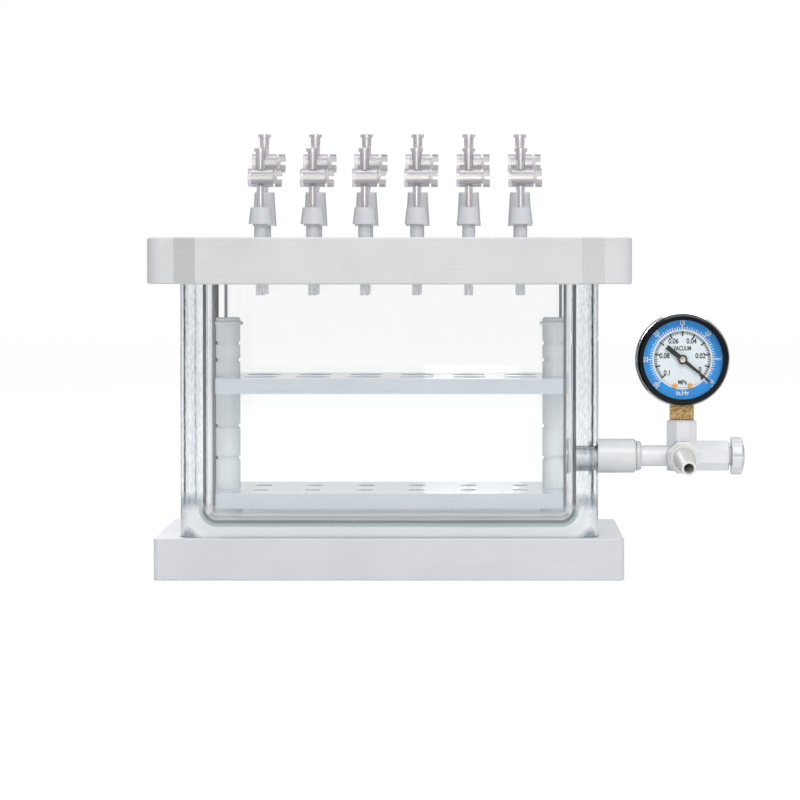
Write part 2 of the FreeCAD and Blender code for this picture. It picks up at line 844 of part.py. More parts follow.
# Collet: the release ring of the push-in tube joint, just outside the adaptor.
def make_collet():
    body = new_body("adaptor_collet")
    place(body, z=size.port_height)
    profile = new_sketch(body, "collet_profile", "XZ_Plane")
    inner = size.tube_diameter / 2 + size.tube_end_play
    outer = size.collet_diameter / 2
    end = COLLET_START + size.collet_length
    edge = size.collet_length / 3
    add_outline(profile, [
        (COLLET_START, inner),
        (COLLET_START, outer),
        (end - edge, outer),
        (end, outer - edge),
        (end, inner),
    ])
    revolve(body, "collet_turned", profile, "H_Axis")
    return body


# Connecting tube: rigid plastic tube pushed into the adaptor and the cross.
def make_connecting_tube():
    body = new_body("connecting_tube")
    place(body, z=size.port_height)
    start = ADAPTOR_END - size.tube_socket
    ring = new_sketch(body, "tube_circles_plan", "YZ_Plane", start)
    add_circle(ring, 0.0, 0.0, size.tube_diameter)
    add_circle(ring, 0.0, 0.0, size.tube_diameter - size.tube_wall * 2)
    end = CROSS_LEFT + size.tube_socket / 2
    pad(body, "tube_length", ring, end - start)
    return body


# Cross: a moulded fitting of octagonal arms that joins the tube, the gauge, the barb and the valve.
def make_cross():
    body = new_body("valve_cross")
    place(body, CROSS_X, 0.0, size.port_height)
    half = size.cross_flats / 2
    upright = new_sketch(body, "cross_upright", "XY_Plane", -half)
    add_octagon(upright, size.cross_flats)
    arm = pad(body, "cross_upright_arm", upright, half + size.cross_up)
    top = dress(body, "cross_top_edge", "Chamfer", arm,
                lambda edge: lies_at(edge, "z", size.cross_up), size.cross_edge)
    sideways = new_sketch(body, "cross_sideways", "YZ_Plane")
    add_octagon(sideways, size.cross_flats)
    right = pad(body, "cross_right_arm", sideways, size.cross_right)
    end = dress(body, "cross_right_edge", "Chamfer", right,
                lambda edge: lies_at(edge, "x", size.cross_right), size.cross_edge / 2)
    boss_back = half * 0.8
    forward = new_sketch(body, "cross_forward", "XZ_Plane", boss_back)
    add_octagon(forward, size.cross_flats + size.cross_edge)
    boss = pad(body, "cross_front_arm", forward, size.cross_front - boss_back)
    dress(body, "cross_front_edge", "Chamfer", boss,
          lambda edge: lies_at(edge, "y", -size.cross_front), size.cross_edge)
    socket_top = new_sketch(body, "cross_gauge_socket_circle", "XY_Plane", size.cross_up)
    add_circle(socket_top, 0.0, 0.0, size.socket_thread + size.shank_clearance * 2)
    pocket(body, "cross_gauge_socket", socket_top, size.socket_thread_length + size.tube_end_play)
    tube_in = new_sketch(body, "cross_tube_circle", "YZ_Plane", -half)
    add_circle(tube_in, 0.0, 0.0, size.tube_diameter + size.tube_end_play * 2)
    pocket(body, "cross_tube_socket", tube_in, size.tube_socket / 2 + size.tube_end_play, reverse=True)
    stem = new_sketch(body, "cross_stem_circle", "YZ_Plane", size.cross_right)
    add_circle(stem, 0.0, 0.0, size.stem_bore)
    pocket(body, "cross_stem_bore", stem, size.stem_reach)
    spigot = new_sketch(body, "cross_barb_circle", "XZ_Plane", size.cross_front)
    add_circle(spigot, 0.0, 0.0, size.barb_spigot + size.shank_clearance * 2)
    pocket(body, "cross_barb_socket", spigot, size.barb_spigot_length + size.tube_end_play)
    along = new_sketch(body, "cross_passage_circle", "YZ_Plane", size.cross_right - size.stem_reach)
    add_circle(along, 0.0, 0.0, size.cross_passage)
    pocket(body, "cross_long_passage", along, size.cross_right - size.stem_reach + half * 0.9)
    rise = new_sketch(body, "cross_rise_circle", "XY_Plane", size.cross_up)
    add_circle(rise, 0.0, 0.0, size.flow_bore)
    pocket(body, "cross_rise_passage", rise, size.cross_up)
    outward = new_sketch(body, "cross_outlet_circle", "XZ_Plane", size.cross_front)
    add_circle(outward, 0.0, 0.0, size.cross_passage * 0.8)
    body.Tip = pocket(body, "cross_outlet_passage", outward, size.cross_front)
    return body


# Hose barb: an octagonal flange on a spigot, and a ribbed nozzle that leans down and aside a little.
def make_hose_barb():
    body = new_body("hose_barb")
    place(body, CROSS_X, 0.0, size.port_height)
    face = size.cross_front
    outline = new_sketch(body, "barb_flange_outline", "XZ_Plane", face)
    outline.AttachmentOffset.Rotation = FreeCAD.Rotation(FreeCAD.Vector(0, 0, 1), BARB_TURN)
    add_octagon(outline, size.barb_flats)
    pad(body, "barb_flange_plate", outline, size.barb_flange)
    root = new_sketch(body, "barb_spigot_circle", "XZ_Plane", face)
    add_circle(root, 0.0, 0.0, size.barb_spigot)
    pad(body, "barb_spigot_rod", root, size.barb_spigot_length, reverse=True)
    start = face + size.barb_flange
    stations = [(0.0, False)]
    for index in range(BARB_RINGS):
        rise = (index + 0.4) / (BARB_RINGS + 0.3)
        stations += [(rise, False), (rise + 0.02, True)]
    stations.append((1.0, False))
    sections = []
    for index, (share, proud) in enumerate(stations):
        core = size.barb_root + (size.barb_tip - size.barb_root) * share
        ring = new_sketch(body, f"barb_section_{index}", "XZ_Plane", start + size.barb_length * share)
        add_circle(ring, size.barb_sway * share, -size.barb_droop * share,
                   core + size.barb_step if proud else core)
        sections.append(ring)
    nozzle = body.newObject("PartDesign::AdditiveLoft", "barb_nozzle")
    nozzle.Profile = sections[0]
    nozzle.Sections = sections[1:]
    nozzle.Ruled = True
    inlet = new_sketch(body, "barb_bore_start", "XZ_Plane", start)
    add_circle(inlet, 0.0, 0.0, size.barb_bore)
    outlet = new_sketch(body, "barb_bore_end", "XZ_Plane", start + size.barb_length)
    add_circle(outlet, size.barb_sway, -size.barb_droop, size.barb_bore)
    bore = body.newObject("PartDesign::SubtractiveLoft", "barb_bore_cut")
    bore.Profile = inlet
    bore.Sections = [outlet]
    bore.Ruled = True
    straight = new_sketch(body, "barb_straight_circle", "XZ_Plane", start)
    add_circle(straight, 0.0, 0.0, size.barb_bore)
    body.Tip = pocket(body, "barb_straight_bore", straight,
                      size.barb_flange + size.barb_spigot_length)
    return body


ARM_END = CROSS_X + size.cross_right
STEM_RADIUS = size.stem_bore / 2 - size.stem_clearance
SEAL_X = ARM_END - size.seal_inset


# Bleed valve: a lobed grip on a stem with a cone point; it screws out along X as it turns.
def make_bleed_valve():
    body = new_body("bleed_valve")
    place(body, z=size.port_height)
    profile = new_sketch(body, "valve_profile", "XZ_Plane")
    seat = ARM_END - size.stem_reach
    grip_start = ARM_END + size.neck_gap + size.neck_length
    grip_end = grip_start + size.grip_length
    grip = size.grip_diameter / 2
    slot_low = SEAL_X - size.seal_section * 0.6
    slot_high = SEAL_X + size.seal_section * 0.6
    slot_floor = size.stem_bore / 2 - size.stem_clearance - size.seal_section - size.stem_clearance
    add_outline(profile, [
        (seat - size.stem_cone, 0.0),
        (seat - size.stem_cone, size.stem_tip / 2),
        (seat, size.cross_passage / 2 - size.stem_clearance),
        (seat, STEM_RADIUS),
        (slot_low, STEM_RADIUS),
        (slot_low, slot_floor),
        (slot_high, slot_floor),
        (slot_high, STEM_RADIUS),
        (ARM_END + size.neck_gap, STEM_RADIUS),
        (ARM_END + size.neck_gap, size.neck_diameter / 2),
        (grip_start, size.neck_diameter / 2),
        (grip_start, grip),
        (grip_end - size.grip_dome, grip),
        (grip_end - size.grip_dome * 0.5, grip * 0.78),
        (grip_end - size.grip_dome * 0.15, grip * 0.5),
        (grip_end, grip * 0.2),
        (grip_end, 0.0),
    ])
    turned = revolve(body, "valve_turned", profile, "H_Axis")
    scallop = new_sketch(body, "valve_scallop_circle", "YZ_Plane", grip_end)
    add_circle(scallop, grip + size.grip_scallop / 2 - size.grip_scallop_depth, 0.0,
               size.grip_scallop)
    cut = pocket(body, "valve_scallop", scallop, size.grip_length)
    lobes = body.newObject("PartDesign::PolarPattern", "valve_lobes")
    lobes.Originals = [cut]
    lobes.Axis = (profile, ["H_Axis"])
    lobes.Angle = 360.0
    lobes.Occurrences = GRIP_LOBES
    body.Tip = lobes
    return body


# Stem seal: a rubber ring in the stem's groove that keeps air out of the arm.
def make_stem_seal():
    ring = doc.addObject("Part::Torus", "stem_seal")
    ring.Label = "stem_seal"
    middle = size.stem_bore / 2 - size.stem_clearance - size.seal_section / 2
    bind(ring, "Radius1", middle)
    bind(ring, "Radius2", size.seal_section / 2)
    ring.Placement.Rotation = FreeCAD.Rotation(FreeCAD.Vector(0, 1, 0), 90)
    bind(ring, "Placement.Base.x", SEAL_X)
    bind(ring, "Placement.Base.z", size.port_height)
    return ring


GAUGE_Z = size.port_height + size.gauge_rise
DIAL_FACE = -size.dial_front
CASE_RADIUS = size.case_diameter / 2
BEZEL_FRONT = size.dial_front + size.window_gap + size.window_thickness + size.bezel_lip


def turn_about_dial(body, name, profile):
    """Revolve a profile drawn on the YZ plane about the gauge's own axis, which runs along Y."""
    return revolve(body, name, profile, "H_Axis")


# Gauge case: a drawn steel cup with a flange that the bezel snaps on.
def make_gauge_case():
    body = new_body("gauge_case")
    place(body, CROSS_X, 0.0, GAUGE_Z)
    profile = new_sketch(body, "case_profile", "YZ_Plane")
    inner = CASE_RADIUS - size.case_wall
    front = DIAL_FACE
    back = size.case_back
    rim = size.case_flange / 2
    flange_back = front + size.case_flange_width
    add_outline(profile, [
        (front, inner),
        (front, rim - size.case_flange_roll),
        (front + size.case_flange_roll * 0.3, rim - size.case_flange_roll * 0.3),
        (front + size.case_flange_roll, rim),
        (flange_back - size.case_flange_roll, rim),
        (flange_back - size.case_flange_roll * 0.3, rim - size.case_flange_roll * 0.3),
        (flange_back, rim - size.case_flange_roll),
        (flange_back, CASE_RADIUS),
        (back - size.case_wall, CASE_RADIUS),
        (back, inner),
        (back, 0.0),
        (back - size.case_wall, 0.0),
        (back - size.case_wall, inner),
    ])
    turn_about_dial(body, "case_cup", profile)
    slot = new_sketch(body, "case_slot_plan", "XY_Plane", -size.case_flange / 2 - size.case_wall)
    gap = size.shank_clearance
    add_box(slot, -size.socket_width / 2 - gap, size.socket_width / 2 + gap,
            -size.socket_depth / 2 - gap, size.socket_depth / 2 + gap)
    body.Tip = pocket(body, "case_slot", slot, CASE_RADIUS / 3, reverse=True)
    return body


# Bezel: a black ring that holds the window against the case.
def make_gauge_bezel():
    body = new_body("gauge_bezel")
    place(body, CROSS_X, 0.0, GAUGE_Z)
    profile = new_sketch(body, "bezel_profile", "YZ_Plane")
    front = -BEZEL_FRONT
    outer = size.bezel_diameter / 2
    opening = size.dial_opening / 2
    seat = front + size.bezel_lip
    rebate = CASE_RADIUS - size.case_wall
    add_outline(profile, [
        (front, opening),
        (front, outer - size.bezel_lip),
        (front + size.bezel_lip * 0.3, outer - size.bezel_lip * 0.3),
        (front + size.bezel_lip, outer),
        (DIAL_FACE, outer),
        (DIAL_FACE, rebate),
        (seat, rebate),
        (seat, opening),
    ])
    turn_about_dial(body, "bezel_ring", profile)
    return body


# Window: a clear disc behind the bezel's lip.
def make_gauge_window():
    disc = doc.addObject("Part::Cylinder", "gauge_window")
    disc.Label = "gauge_window"
    bind(disc, "Radius", CASE_RADIUS - size.case_wall - size.shank_clearance)
    bind(disc, "Height", size.window_thickness)
    disc.Placement.Rotation = FreeCAD.Rotation(FreeCAD.Vector(1, 0, 0), 90)
    bind(disc, "Placement.Base.x", CROSS_X)
    bind(disc, "Placement.Base.y", -BEZEL_FRONT + size.bezel_lip + size.window_thickness)
    bind(disc, "Placement.Base.z", GAUGE_Z)
    return disc


DIAL_SCREW_TURN = math.radians(DIMENSIONS["dial_screw_spread"])
DIAL_SCREW_DROP = size.dial_screw_radius * math.cos(DIAL_SCREW_TURN)


def add_screw_circles(sketch, diameter):
    """The two spots of the dial's screws, on a plane across the gauge's axis."""
    for side in (-1, 1):
        add_circle(sketch, size.dial_screw_radius * (side * math.sin(DIAL_SCREW_TURN)),
                   -DIAL_SCREW_DROP, diameter)


# Dial: a thin printed disc with a hole for the needle's arbor and two for its screws.
def make_gauge_dial():
    body = new_body("gauge_dial")
    place(body, CROSS_X, DIAL_FACE, GAUGE_Z)
    disc = new_sketch(body, "dial_circles", "XZ_Plane")
    add_circle(disc, 0.0, 0.0, (CASE_RADIUS - size.case_wall - size.shank_clearance) * 2)
    add_circle(disc, 0.0, 0.0, size.arbor_diameter * 2)
    add_screw_circles(disc, size.dial_screw_shank + size.shank_clearance * 2)
    pad(body, "dial_disc", disc, size.dial_thickness, reverse=True)
    return body


# Needle: a thin pointer with a broad tail, a hub and the arbor that the movement turns.
def make_gauge_needle():
    body = new_body("gauge_needle")
    place(body, CROSS_X, DIAL_FACE, GAUGE_Z)
    lift = size.window_gap / 2
    blade = new_sketch(body, "needle_outline", "XZ_Plane", lift)
    broad = size.needle_hub / 4
    narrow = broad * 0.8
    point = broad * 0.3
    shoulder = size.needle_hub / 8
    add_outline(blade, [
        (-size.needle_tail, -broad),
        (-shoulder, -broad),
        (shoulder, -narrow),
        (size.needle_tip, -point),
        (size.needle_tip, point),
        (shoulder, narrow),
        (-shoulder, broad),
        (-size.needle_tail, broad),
    ])
    pad(body, "needle_blade", blade, size.needle_thickness)
    hub = new_sketch(body, "needle_hub_circle", "XZ_Plane", lift - size.needle_thickness)
    add_circle(hub, 0.0, 0.0, size.needle_hub)
    pad(body, "needle_hub_disc", hub, size.needle_thickness * 3)
    arbor = new_sketch(body, "needle_arbor_circle", "XZ_Plane", lift)
    add_circle(arbor, 0.0, 0.0, size.arbor_diameter)
    body.Tip = pad(body, "needle_arbor", arbor,
                   lift + size.dial_thickness + size.movement_thickness, reverse=True)
    body.Placement.Rotation = FreeCAD.Rotation(FreeCAD.Vector(0, -1, 0), 0)
    bind(body, "Placement.Rotation.Angle", size.needle_zero)
    return body


# Dial screws: two brass cheese-head screws near the bottom of the dial.
def make_dial_screws():
    body = new_body("dial_screws")
    place(body, CROSS_X, DIAL_FACE, GAUGE_Z)
    heads = new_sketch(body, "dial_screw_circles", "XZ_Plane")
    add_screw_circles(heads, size.dial_screw_head)
    pad(body, "dial_screw_heads", heads, size.dial_screw_height)
    shanks = new_sketch(body, "dial_screw_shank_circles", "XZ_Plane")
    add_screw_circles(shanks, size.dial_screw_shank)
    body.Tip = pad(body, "dial_screw_shanks", shanks, size.dial_screw_length, reverse=True)
    return body


SOCKET_TOP = GAUGE_Z - DIAL_SCREW_DROP + size.socket_shoulder
DIAL_BACK = DIAL_FACE + size.dial_thickness


# Gauge socket: the brass block that carries the whole gauge, threaded into the cross. Its upper
# part stands inside the case, with the dial screwed on its front and the coiled tube in a slot.
def make_gauge_socket():
    body = new_body("gauge_socket")
    arm_top = size.port_height + size.cross_up
    place(body, CROSS_X, 0.0, arm_top)
    plan = new_sketch(body, "socket_plan")
    add_centred_box(plan, size.socket_width, size.socket_depth)
    block = pad(body, "socket_block", plan, GAUGE_Z - size.case_flange / 2 - arm_top)
    dress(body, "socket_foot", "Chamfer", block, lambda edge: lies_at(edge, "z", 0.0),
          size.cross_edge / 2)
    shoulder = new_sketch(body, "socket_shoulder_plan")
    add_box(shoulder, -size.socket_width / 2, size.socket_width / 2, DIAL_BACK, size.socket_depth / 2)
    pad(body, "socket_shoulder_block", shoulder, SOCKET_TOP - arm_top)
    thread = new_sketch(body, "socket_thread_circle")
    add_circle(thread, 0.0, 0.0, size.socket_thread)
    pad(body, "socket_thread_rod", thread, size.socket_thread_length, reverse=True)
    bore = new_sketch(body, "socket_bore_circle")
    add_circle(bore, 0.0, 0.0, size.flow_bore)
    pocket_through(body, "socket_bore", bore)
    slot = new_sketch(body, "socket_slot_plan", "XY_Plane", SOCKET_TOP - arm_top)
    half = size.bourdon_width / 2 + size.shank_clearance
    add_box(slot, -size.socket_width / 2, size.shank_clearance, -half, half)
    pocket(body, "socket_slot", slot,
           SOCKET_TOP - GAUGE_Z + size.bourdon_radius + size.bourdon_thickness / 2)
    screws = new_sketch(body, "socket_screw_circles", "XZ_Plane", -DIAL_BACK)
    for side in (-1, 1):
        add_circle(screws, size.dial_screw_radius * (side * math.sin(DIAL_SCREW_TURN)),
                   GAUGE_Z - arm_top - DIAL_SCREW_DROP,
                   size.dial_screw_shank + size.shank_clearance * 2)
    body.Tip = pocket(body, "socket_screw_holes", screws, size.dial_screw_length)
    return body


# Bourdon tube: a flattened brass tube bent in a C, brazed in the socket's slot at one end.
def make_bourdon_tube():
    body = new_body("bourdon_tube")
    place(body, CROSS_X, 0.0, GAUGE_Z)
    section = new_sketch(body, "bourdon_section", "YZ_Plane")
    inner = -size.bourdon_radius - size.bourdon_thickness / 2
    add_box(section, -size.bourdon_width / 2, size.bourdon_width / 2, inner,
            inner + size.bourdon_thickness)
    revolve(body, "bourdon_curve", section, "H_Axis", BOURDON_SWEEP)
    return body


# Movement: the brass plates that bear the needle's arbor, standing on the socket block.
def make_gauge_movement():
    body = new_body("gauge_movement")
    place(body, CROSS_X, DIAL_BACK, GAUGE_Z)
    plan = new_sketch(body, "movement_plan", "XZ_Plane")
    half = size.movement_width / 2
    add_box(plan, -half, half, SOCKET_TOP - GAUGE_Z, size.movement_height / 2)
    pad(body, "movement_plate", plan, size.movement_thickness, reverse=True)
    bearing = new_sketch(body, "movement_bearing", "XZ_Plane")
    add_circle(bearing, 0.0, 0.0, size.arbor_diameter + size.arbor_clearance * 2)
    body.Tip = pocket_through(body, "movement_hole", bearing)
    return body


def check_and_write(parts):
    """Stop on any failed object, then write each sub-part to its own file."""
    doc.recompute()
    failed = [item.Name for item in doc.Objects
              if "Invalid" in item.State or "Error" in item.State]
    if failed:
        raise SystemExit("failed objects: " + ", ".join(failed))
    os.makedirs("parts", exist_ok=True)
    for part in parts:
        if part.Shape.isNull() or not part.Shape.isValid():
            raise SystemExit("bad shape: " + part.Label)
        part.Shape.exportStep(f"parts/{part.Label}.step")


def make_ports():
    """Fittings and stopcocks of both rows; ports 01 to 06 are in front and 07 to 12 behind."""
    rows = [("short_fittings", -1, size.short_neck, size.short_cone),
            ("tall_fittings", 1, size.tall_neck, size.tall_cone)]
    made = []
    for row, (label, side, neck, cone) in enumerate(rows):
        made.append(make_port_fittings(label, side, neck, cone))
        for index in range(PORTS_PER_ROW):
            number = row * PORTS_PER_ROW + index + 1
            spot = (port_offset(index), size.port_row_spacing * (side / 2),
                    LID_TOP + neck + cone)
            made.append(make_stopcock_body(f"stopcock_body_{number:02d}", *spot))
            made.append(make_stopcock_plug(f"stopcock_plug_{number:02d}", *spot))
    return made


check_and_write([
    make_base_tray(),
    make_glass_tank(),
    make_lid(),
    make_lid_gasket(),
    *make_ports(),
    make_bottom_plate(),
    make_middle_plate(),
    make_post("post_left", -1),
    make_post("post_right", 1),
    make_foot("foot_left", -1),
    make_foot("foot_right", 1),
    make_ring_pair("support_rings", MIDDLE_PLATE_BOTTOM),
    make_ring_pair("stop_rings",
                   RACK_PLATE_TOP + size.post_height - size.top_groove_drop + size.groove_width),
    make_port_adaptor(),
    make_port_seal(),
    make_port_nut(),
    make_collet(),
    make_connecting_tube(),
    make_cross(),
    make_hose_barb(),
    make_bleed_valve(),
    make_stem_seal(),
    make_gauge_case(),
    make_gauge_bezel(),
    make_gauge_window(),
    make_gauge_dial(),
    make_gauge_needle(),
    make_dial_screws(),
    make_gauge_socket(),
    make_bourdon_tube(),
    make_gauge_movement(),
])
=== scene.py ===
import math

import bmesh
import bpy
from mathutils import Matrix, Vector


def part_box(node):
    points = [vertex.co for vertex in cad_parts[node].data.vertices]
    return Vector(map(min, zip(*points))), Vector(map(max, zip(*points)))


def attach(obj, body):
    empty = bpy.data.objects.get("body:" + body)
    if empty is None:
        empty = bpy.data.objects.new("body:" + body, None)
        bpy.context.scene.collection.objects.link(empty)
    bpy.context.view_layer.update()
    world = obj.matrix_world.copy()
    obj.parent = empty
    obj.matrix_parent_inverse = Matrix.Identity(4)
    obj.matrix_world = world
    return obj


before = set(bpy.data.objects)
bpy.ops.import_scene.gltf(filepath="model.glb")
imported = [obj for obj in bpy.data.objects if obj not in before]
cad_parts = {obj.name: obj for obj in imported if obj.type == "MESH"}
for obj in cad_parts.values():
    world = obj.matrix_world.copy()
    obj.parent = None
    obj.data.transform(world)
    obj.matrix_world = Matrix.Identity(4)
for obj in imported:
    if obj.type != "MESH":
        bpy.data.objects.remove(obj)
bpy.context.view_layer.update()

# Base tray: a slab of natural white polypropylene, milled all over, with a shallow recess for the
# tank. The cutter leaves fine parallel lines, and the white is a little uneven, as in thick sheet.


def paint(code):
    """An sRGB hex code as the linear colour that shader sockets take."""
    parts = [int(code[i:i + 2], 16) / 255 for i in (1, 3, 5)]
    linear = [p / 12.92 if p <= 0.04045 else ((p + 0.055) / 1.055) ** 2.4 for p in parts]
    return (*linear, 1.0)


def add_node(tree, kind, settings, inputs):
    """Adds a node with its settings; an input is a plain value or another node's output."""
    node = tree.nodes.new(kind)
    for name, value in settings.items():
        setattr(node, name, value)
    for name, value in inputs.items():
        if isinstance(value, bpy.types.NodeSocket):
            tree.links.new(value, node.inputs[name])
        else:
            node.inputs[name].default_value = value
    return node


def new_material(name, colour, roughness, **sockets):
    """A Principled material: gives it, its tree, its shader and the place on the object."""
    material = bpy.data.materials.new(name)
    material.use_nodes = True
    tree = material.node_tree
    shader = tree.nodes["Principled BSDF"]
    shader.inputs["Base Color"].default_value = paint(colour)
    shader.inputs["Roughness"].default_value = roughness
    for socket, value in sockets.items():
        shader.inputs[socket.replace("_", " ")].default_value = value
    place = add_node(tree, "ShaderNodeTexCoord", {}, {}).outputs["Object"]
    return material, tree, shader, place


def put_on(material, *nodes):
    """Gives CAD nodes their real finish."""
    for name in nodes:
        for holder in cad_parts[name].material_slots:
            holder.material = material


MM = 0.001


def uneven_skin(tree, shader, place, spot_mm, strength, height_mm):
    """Small bumps all over a surface, spot_mm apart and height_mm high."""
    grain = add_node(tree, "ShaderNodeTexNoise", {},
                     {"Vector": place, "Scale": 1 / (spot_mm * MM), "Detail": 2.0})
    bumps = add_node(tree, "ShaderNodeBump", {},
                     {"Height": grain.outputs["Fac"], "Strength": strength,
                      "Distance": height_mm * MM})
    tree.links.new(bumps.outputs[0], shader.inputs["Normal"])


def uneven_gloss(tree, shader, place, spot_mm, low, high, detail=2.0):
    """Roughness that drifts between two values, in spots of spot_mm."""
    drift = add_node(tree, "ShaderNodeTexNoise", {},
                     {"Vector": place, "Scale": 1 / (spot_mm * MM), "Detail": detail})
    gloss = add_node(tree, "ShaderNodeMapRange", {},
                     {"Value": drift.outputs["Fac"], "To Min": low, "To Max": high})
    tree.links.new(gloss.outputs[0], shader.inputs["Roughness"])


def rim_shade(tree, colour, shade):
    """Painted shade: a colour that goes over to a darker one where a round form turns away from
    the eye.
    """
    turned = add_node(tree, "ShaderNodeLayerWeight", {}, {"Blend": 0.5}).outputs["Facing"]
    rim = add_node(tree, "ShaderNodeMapRange", {"interpolation_type": "SMOOTHSTEP"},
                   {"Value": turned, "From Min": 0.35, "From Max": 0.95})
    return add_node(tree, "ShaderNodeMix", {"data_type": "RGBA"},
                    {0: rim.outputs[0], 6: colour, 7: paint(shade)}).outputs[2]


def milled_polypropylene(name, colour, shade, feed_mm, roughness):
    """Milled sheet: cutter lines at the feed's spacing, drawn out along X, and a cloudy white."""
    material, tree, shader, place = new_material(name, colour, roughness, Specular_IOR_Level=0.5)
    across = 1 / (feed_mm * MM)
    lines_place = add_node(tree, "ShaderNodeMapping", {},
                           {"Vector": place, "Scale": (14.0, 14.0, across)})
    lines = add_node(tree, "ShaderNodeTexNoise", {},
                     {"Vector": lines_place.outputs[0], "Scale": 1.0, "Detail": 2.0})
    cloud = add_node(tree, "ShaderNodeTexNoise", {},
                     {"Vector": place, "Scale": 1 / (35 * MM), "Detail": 3.0})
    mixed = add_node(tree, "ShaderNodeMath", {"operation": "MULTIPLY_ADD"},
                     {0: lines.outputs["Fac"], 1: 0.7, 2: cloud.outputs["Fac"]})
    tone = add_node(tree, "ShaderNodeMapRange", {},
                    {"Value": mixed.outputs[0], "From Min": 0.55, "From Max": 1.15})
    colours = add_node(tree, "ShaderNodeMix", {"data_type": "RGBA"},
                       {0: tone.outputs[0], 6: paint(shade), 7: paint(colour)})
    tree.links.new(colours.outputs[2], shader.inputs["Base Color"])
    relief = add_node(tree, "ShaderNodeBump", {},
                      {"Height": lines.outputs["Fac"], "Strength": 0.35, "Distance": 0.03 * MM})
    tree.links.new(relief.outputs[0], shader.inputs["Normal"])
    return material


put_on(milled_polypropylene("polypropylene_milled_base", "#D9DBDF", "#D0D2D7", 0.8, 0.36),
       "base_tray")

# Glass tank: thick pressed soda-lime glass with fire-polished faces. It is clear on the flat of
# its walls and wavy where the mould drew it; its round corners bend the light, and their dark
# look is painted shade.


def lamps_pass(material):
    """Lets lamplight and the soft light of the room through a clear wall."""
    tree = material.node_tree
    rays = add_node(tree, "ShaderNodeLightPath", {}, {})
    light = add_node(tree, "ShaderNodeMath", {"operation": "MAXIMUM"},
                     {0: rays.outputs["Is Shadow Ray"], 1: rays.outputs["Is Diffuse Ray"]})
    gap = add_node(tree, "ShaderNodeBsdfTransparent", {}, {"Color": (0.96, 0.97, 0.97, 1.0)})
    mixed = add_node(tree, "ShaderNodeMixShader", {},
                     {0: light.outputs[0], 1: tree.nodes["Principled BSDF"].outputs[0],
                      2: gap.outputs[0]})
    tree.links.new(mixed.outputs[0], tree.nodes["Material Output"].inputs["Surface"])


END_WAVES_FROM, END_WAVES_FULL = 0.112, 0.116
FLOOR_WAVES_FROM, FLOOR_WAVES_FULL = 0.036, 0.031

pressed_glass, tree, shader, place = new_material(
    "glass_pressed_soda_lime", "#FFFFFF", 0.0, IOR=1.5, Transmission_Weight=1.0)
axes = add_node(tree, "ShaderNodeSeparateXYZ", {}, {"Vector": place})
from_middle = add_node(tree, "ShaderNodeMath", {"operation": "ABSOLUTE"}, {0: axes.outputs["X"]})
from_centre = add_node(tree, "ShaderNodeMath", {"operation": "ABSOLUTE"}, {0: axes.outputs["Y"]})
near_ends = add_node(tree, "ShaderNodeMapRange", {},
                     {"Value": from_middle.outputs[0], "From Min": END_WAVES_FROM,
                      "From Max": END_WAVES_FULL})
near_floor = add_node(tree, "ShaderNodeMapRange", {},
                      {"Value": axes.outputs["Z"], "From Min": FLOOR_WAVES_FROM,
                       "From Max": FLOOR_WAVES_FULL})
upright_place = add_node(tree, "ShaderNodeMapping", {},
                         {"Vector": place, "Scale": [1 / (size * MM) for size in (1.1, 1.1, 4)]})
upright_waves = add_node(tree, "ShaderNodeTexNoise", {},
                         {"Vector": upright_place.outputs[0], "Scale": 1.0, "Detail": 4.0,
                          "Roughness": 0.65})
level_place = add_node(tree, "ShaderNodeMapping", {},
                       {"Vector": place, "Scale": [1 / (size * MM) for size in (60, 8, 3)]})
level_waves = add_node(tree, "ShaderNodeTexNoise", {},
                       {"Vector": level_place.outputs[0], "Scale": 1.0, "Detail": 3.0,
                        "Roughness": 0.6})
end_relief = add_node(tree, "ShaderNodeMath", {"operation": "MULTIPLY"},
                      {0: upright_waves.outputs["Fac"], 1: near_ends.outputs[0]})
relief = add_node(tree, "ShaderNodeMath", {"operation": "MULTIPLY_ADD"},
                  {0: level_waves.outputs["Fac"], 1: near_floor.outputs[0],
                   2: end_relief.outputs[0]})
waves = add_node(tree, "ShaderNodeBump", {},
                 {"Height": relief.outputs[0], "Strength": 0.4, "Distance": 0.16 * MM})
tree.links.new(waves.outputs[0], shader.inputs["Normal"])

# Inside the upright corners two dark lines are painted side by side, one each side of the bend:
# painted shade for the dark the bent glass shows. The level part of the surface's direction tells
# where the bend is: 1 on the end wall, 0 on the front.
INNER_X, INNER_Y = 0.1135, 0.0465
facing = add_node(tree, "ShaderNodeTexCoord", {}, {}).outputs["Normal"]
parts = add_node(tree, "ShaderNodeVectorMath", {"operation": "ABSOLUTE"}, {0: facing})
wall_part = add_node(tree, "ShaderNodeSeparateXYZ", {}, {"Vector": parts.outputs[0]})
inside_x = add_node(tree, "ShaderNodeMath", {"operation": "LESS_THAN"},
                    {0: from_middle.outputs[0], 1: INNER_X})
inside_y = add_node(tree, "ShaderNodeMath", {"operation": "LESS_THAN"},
                    {0: from_centre.outputs[0], 1: INNER_Y})
inside = add_node(tree, "ShaderNodeMath", {"operation": "MULTIPLY"},
                  {0: inside_x.outputs[0], 1: inside_y.outputs[0]})
outside = add_node(tree, "ShaderNodeMath", {"operation": "SUBTRACT"},
                   {0: 1.0, 1: inside.outputs[0]})


def banded(tree, value, stops):
    """Bands of colour along a value: each stop has a place, a colour and how much it covers."""
    bands = add_node(tree, "ShaderNodeValToRGB", {}, {"Fac": value})
    ramp = bands.color_ramp.elements
    while len(ramp) < len(stops):
        ramp.new(1.0)
    for element, (spot, colour, cover) in zip(ramp, stops):
        element.position = spot
        element.color = (*paint(colour)[:3], cover)
    return bands


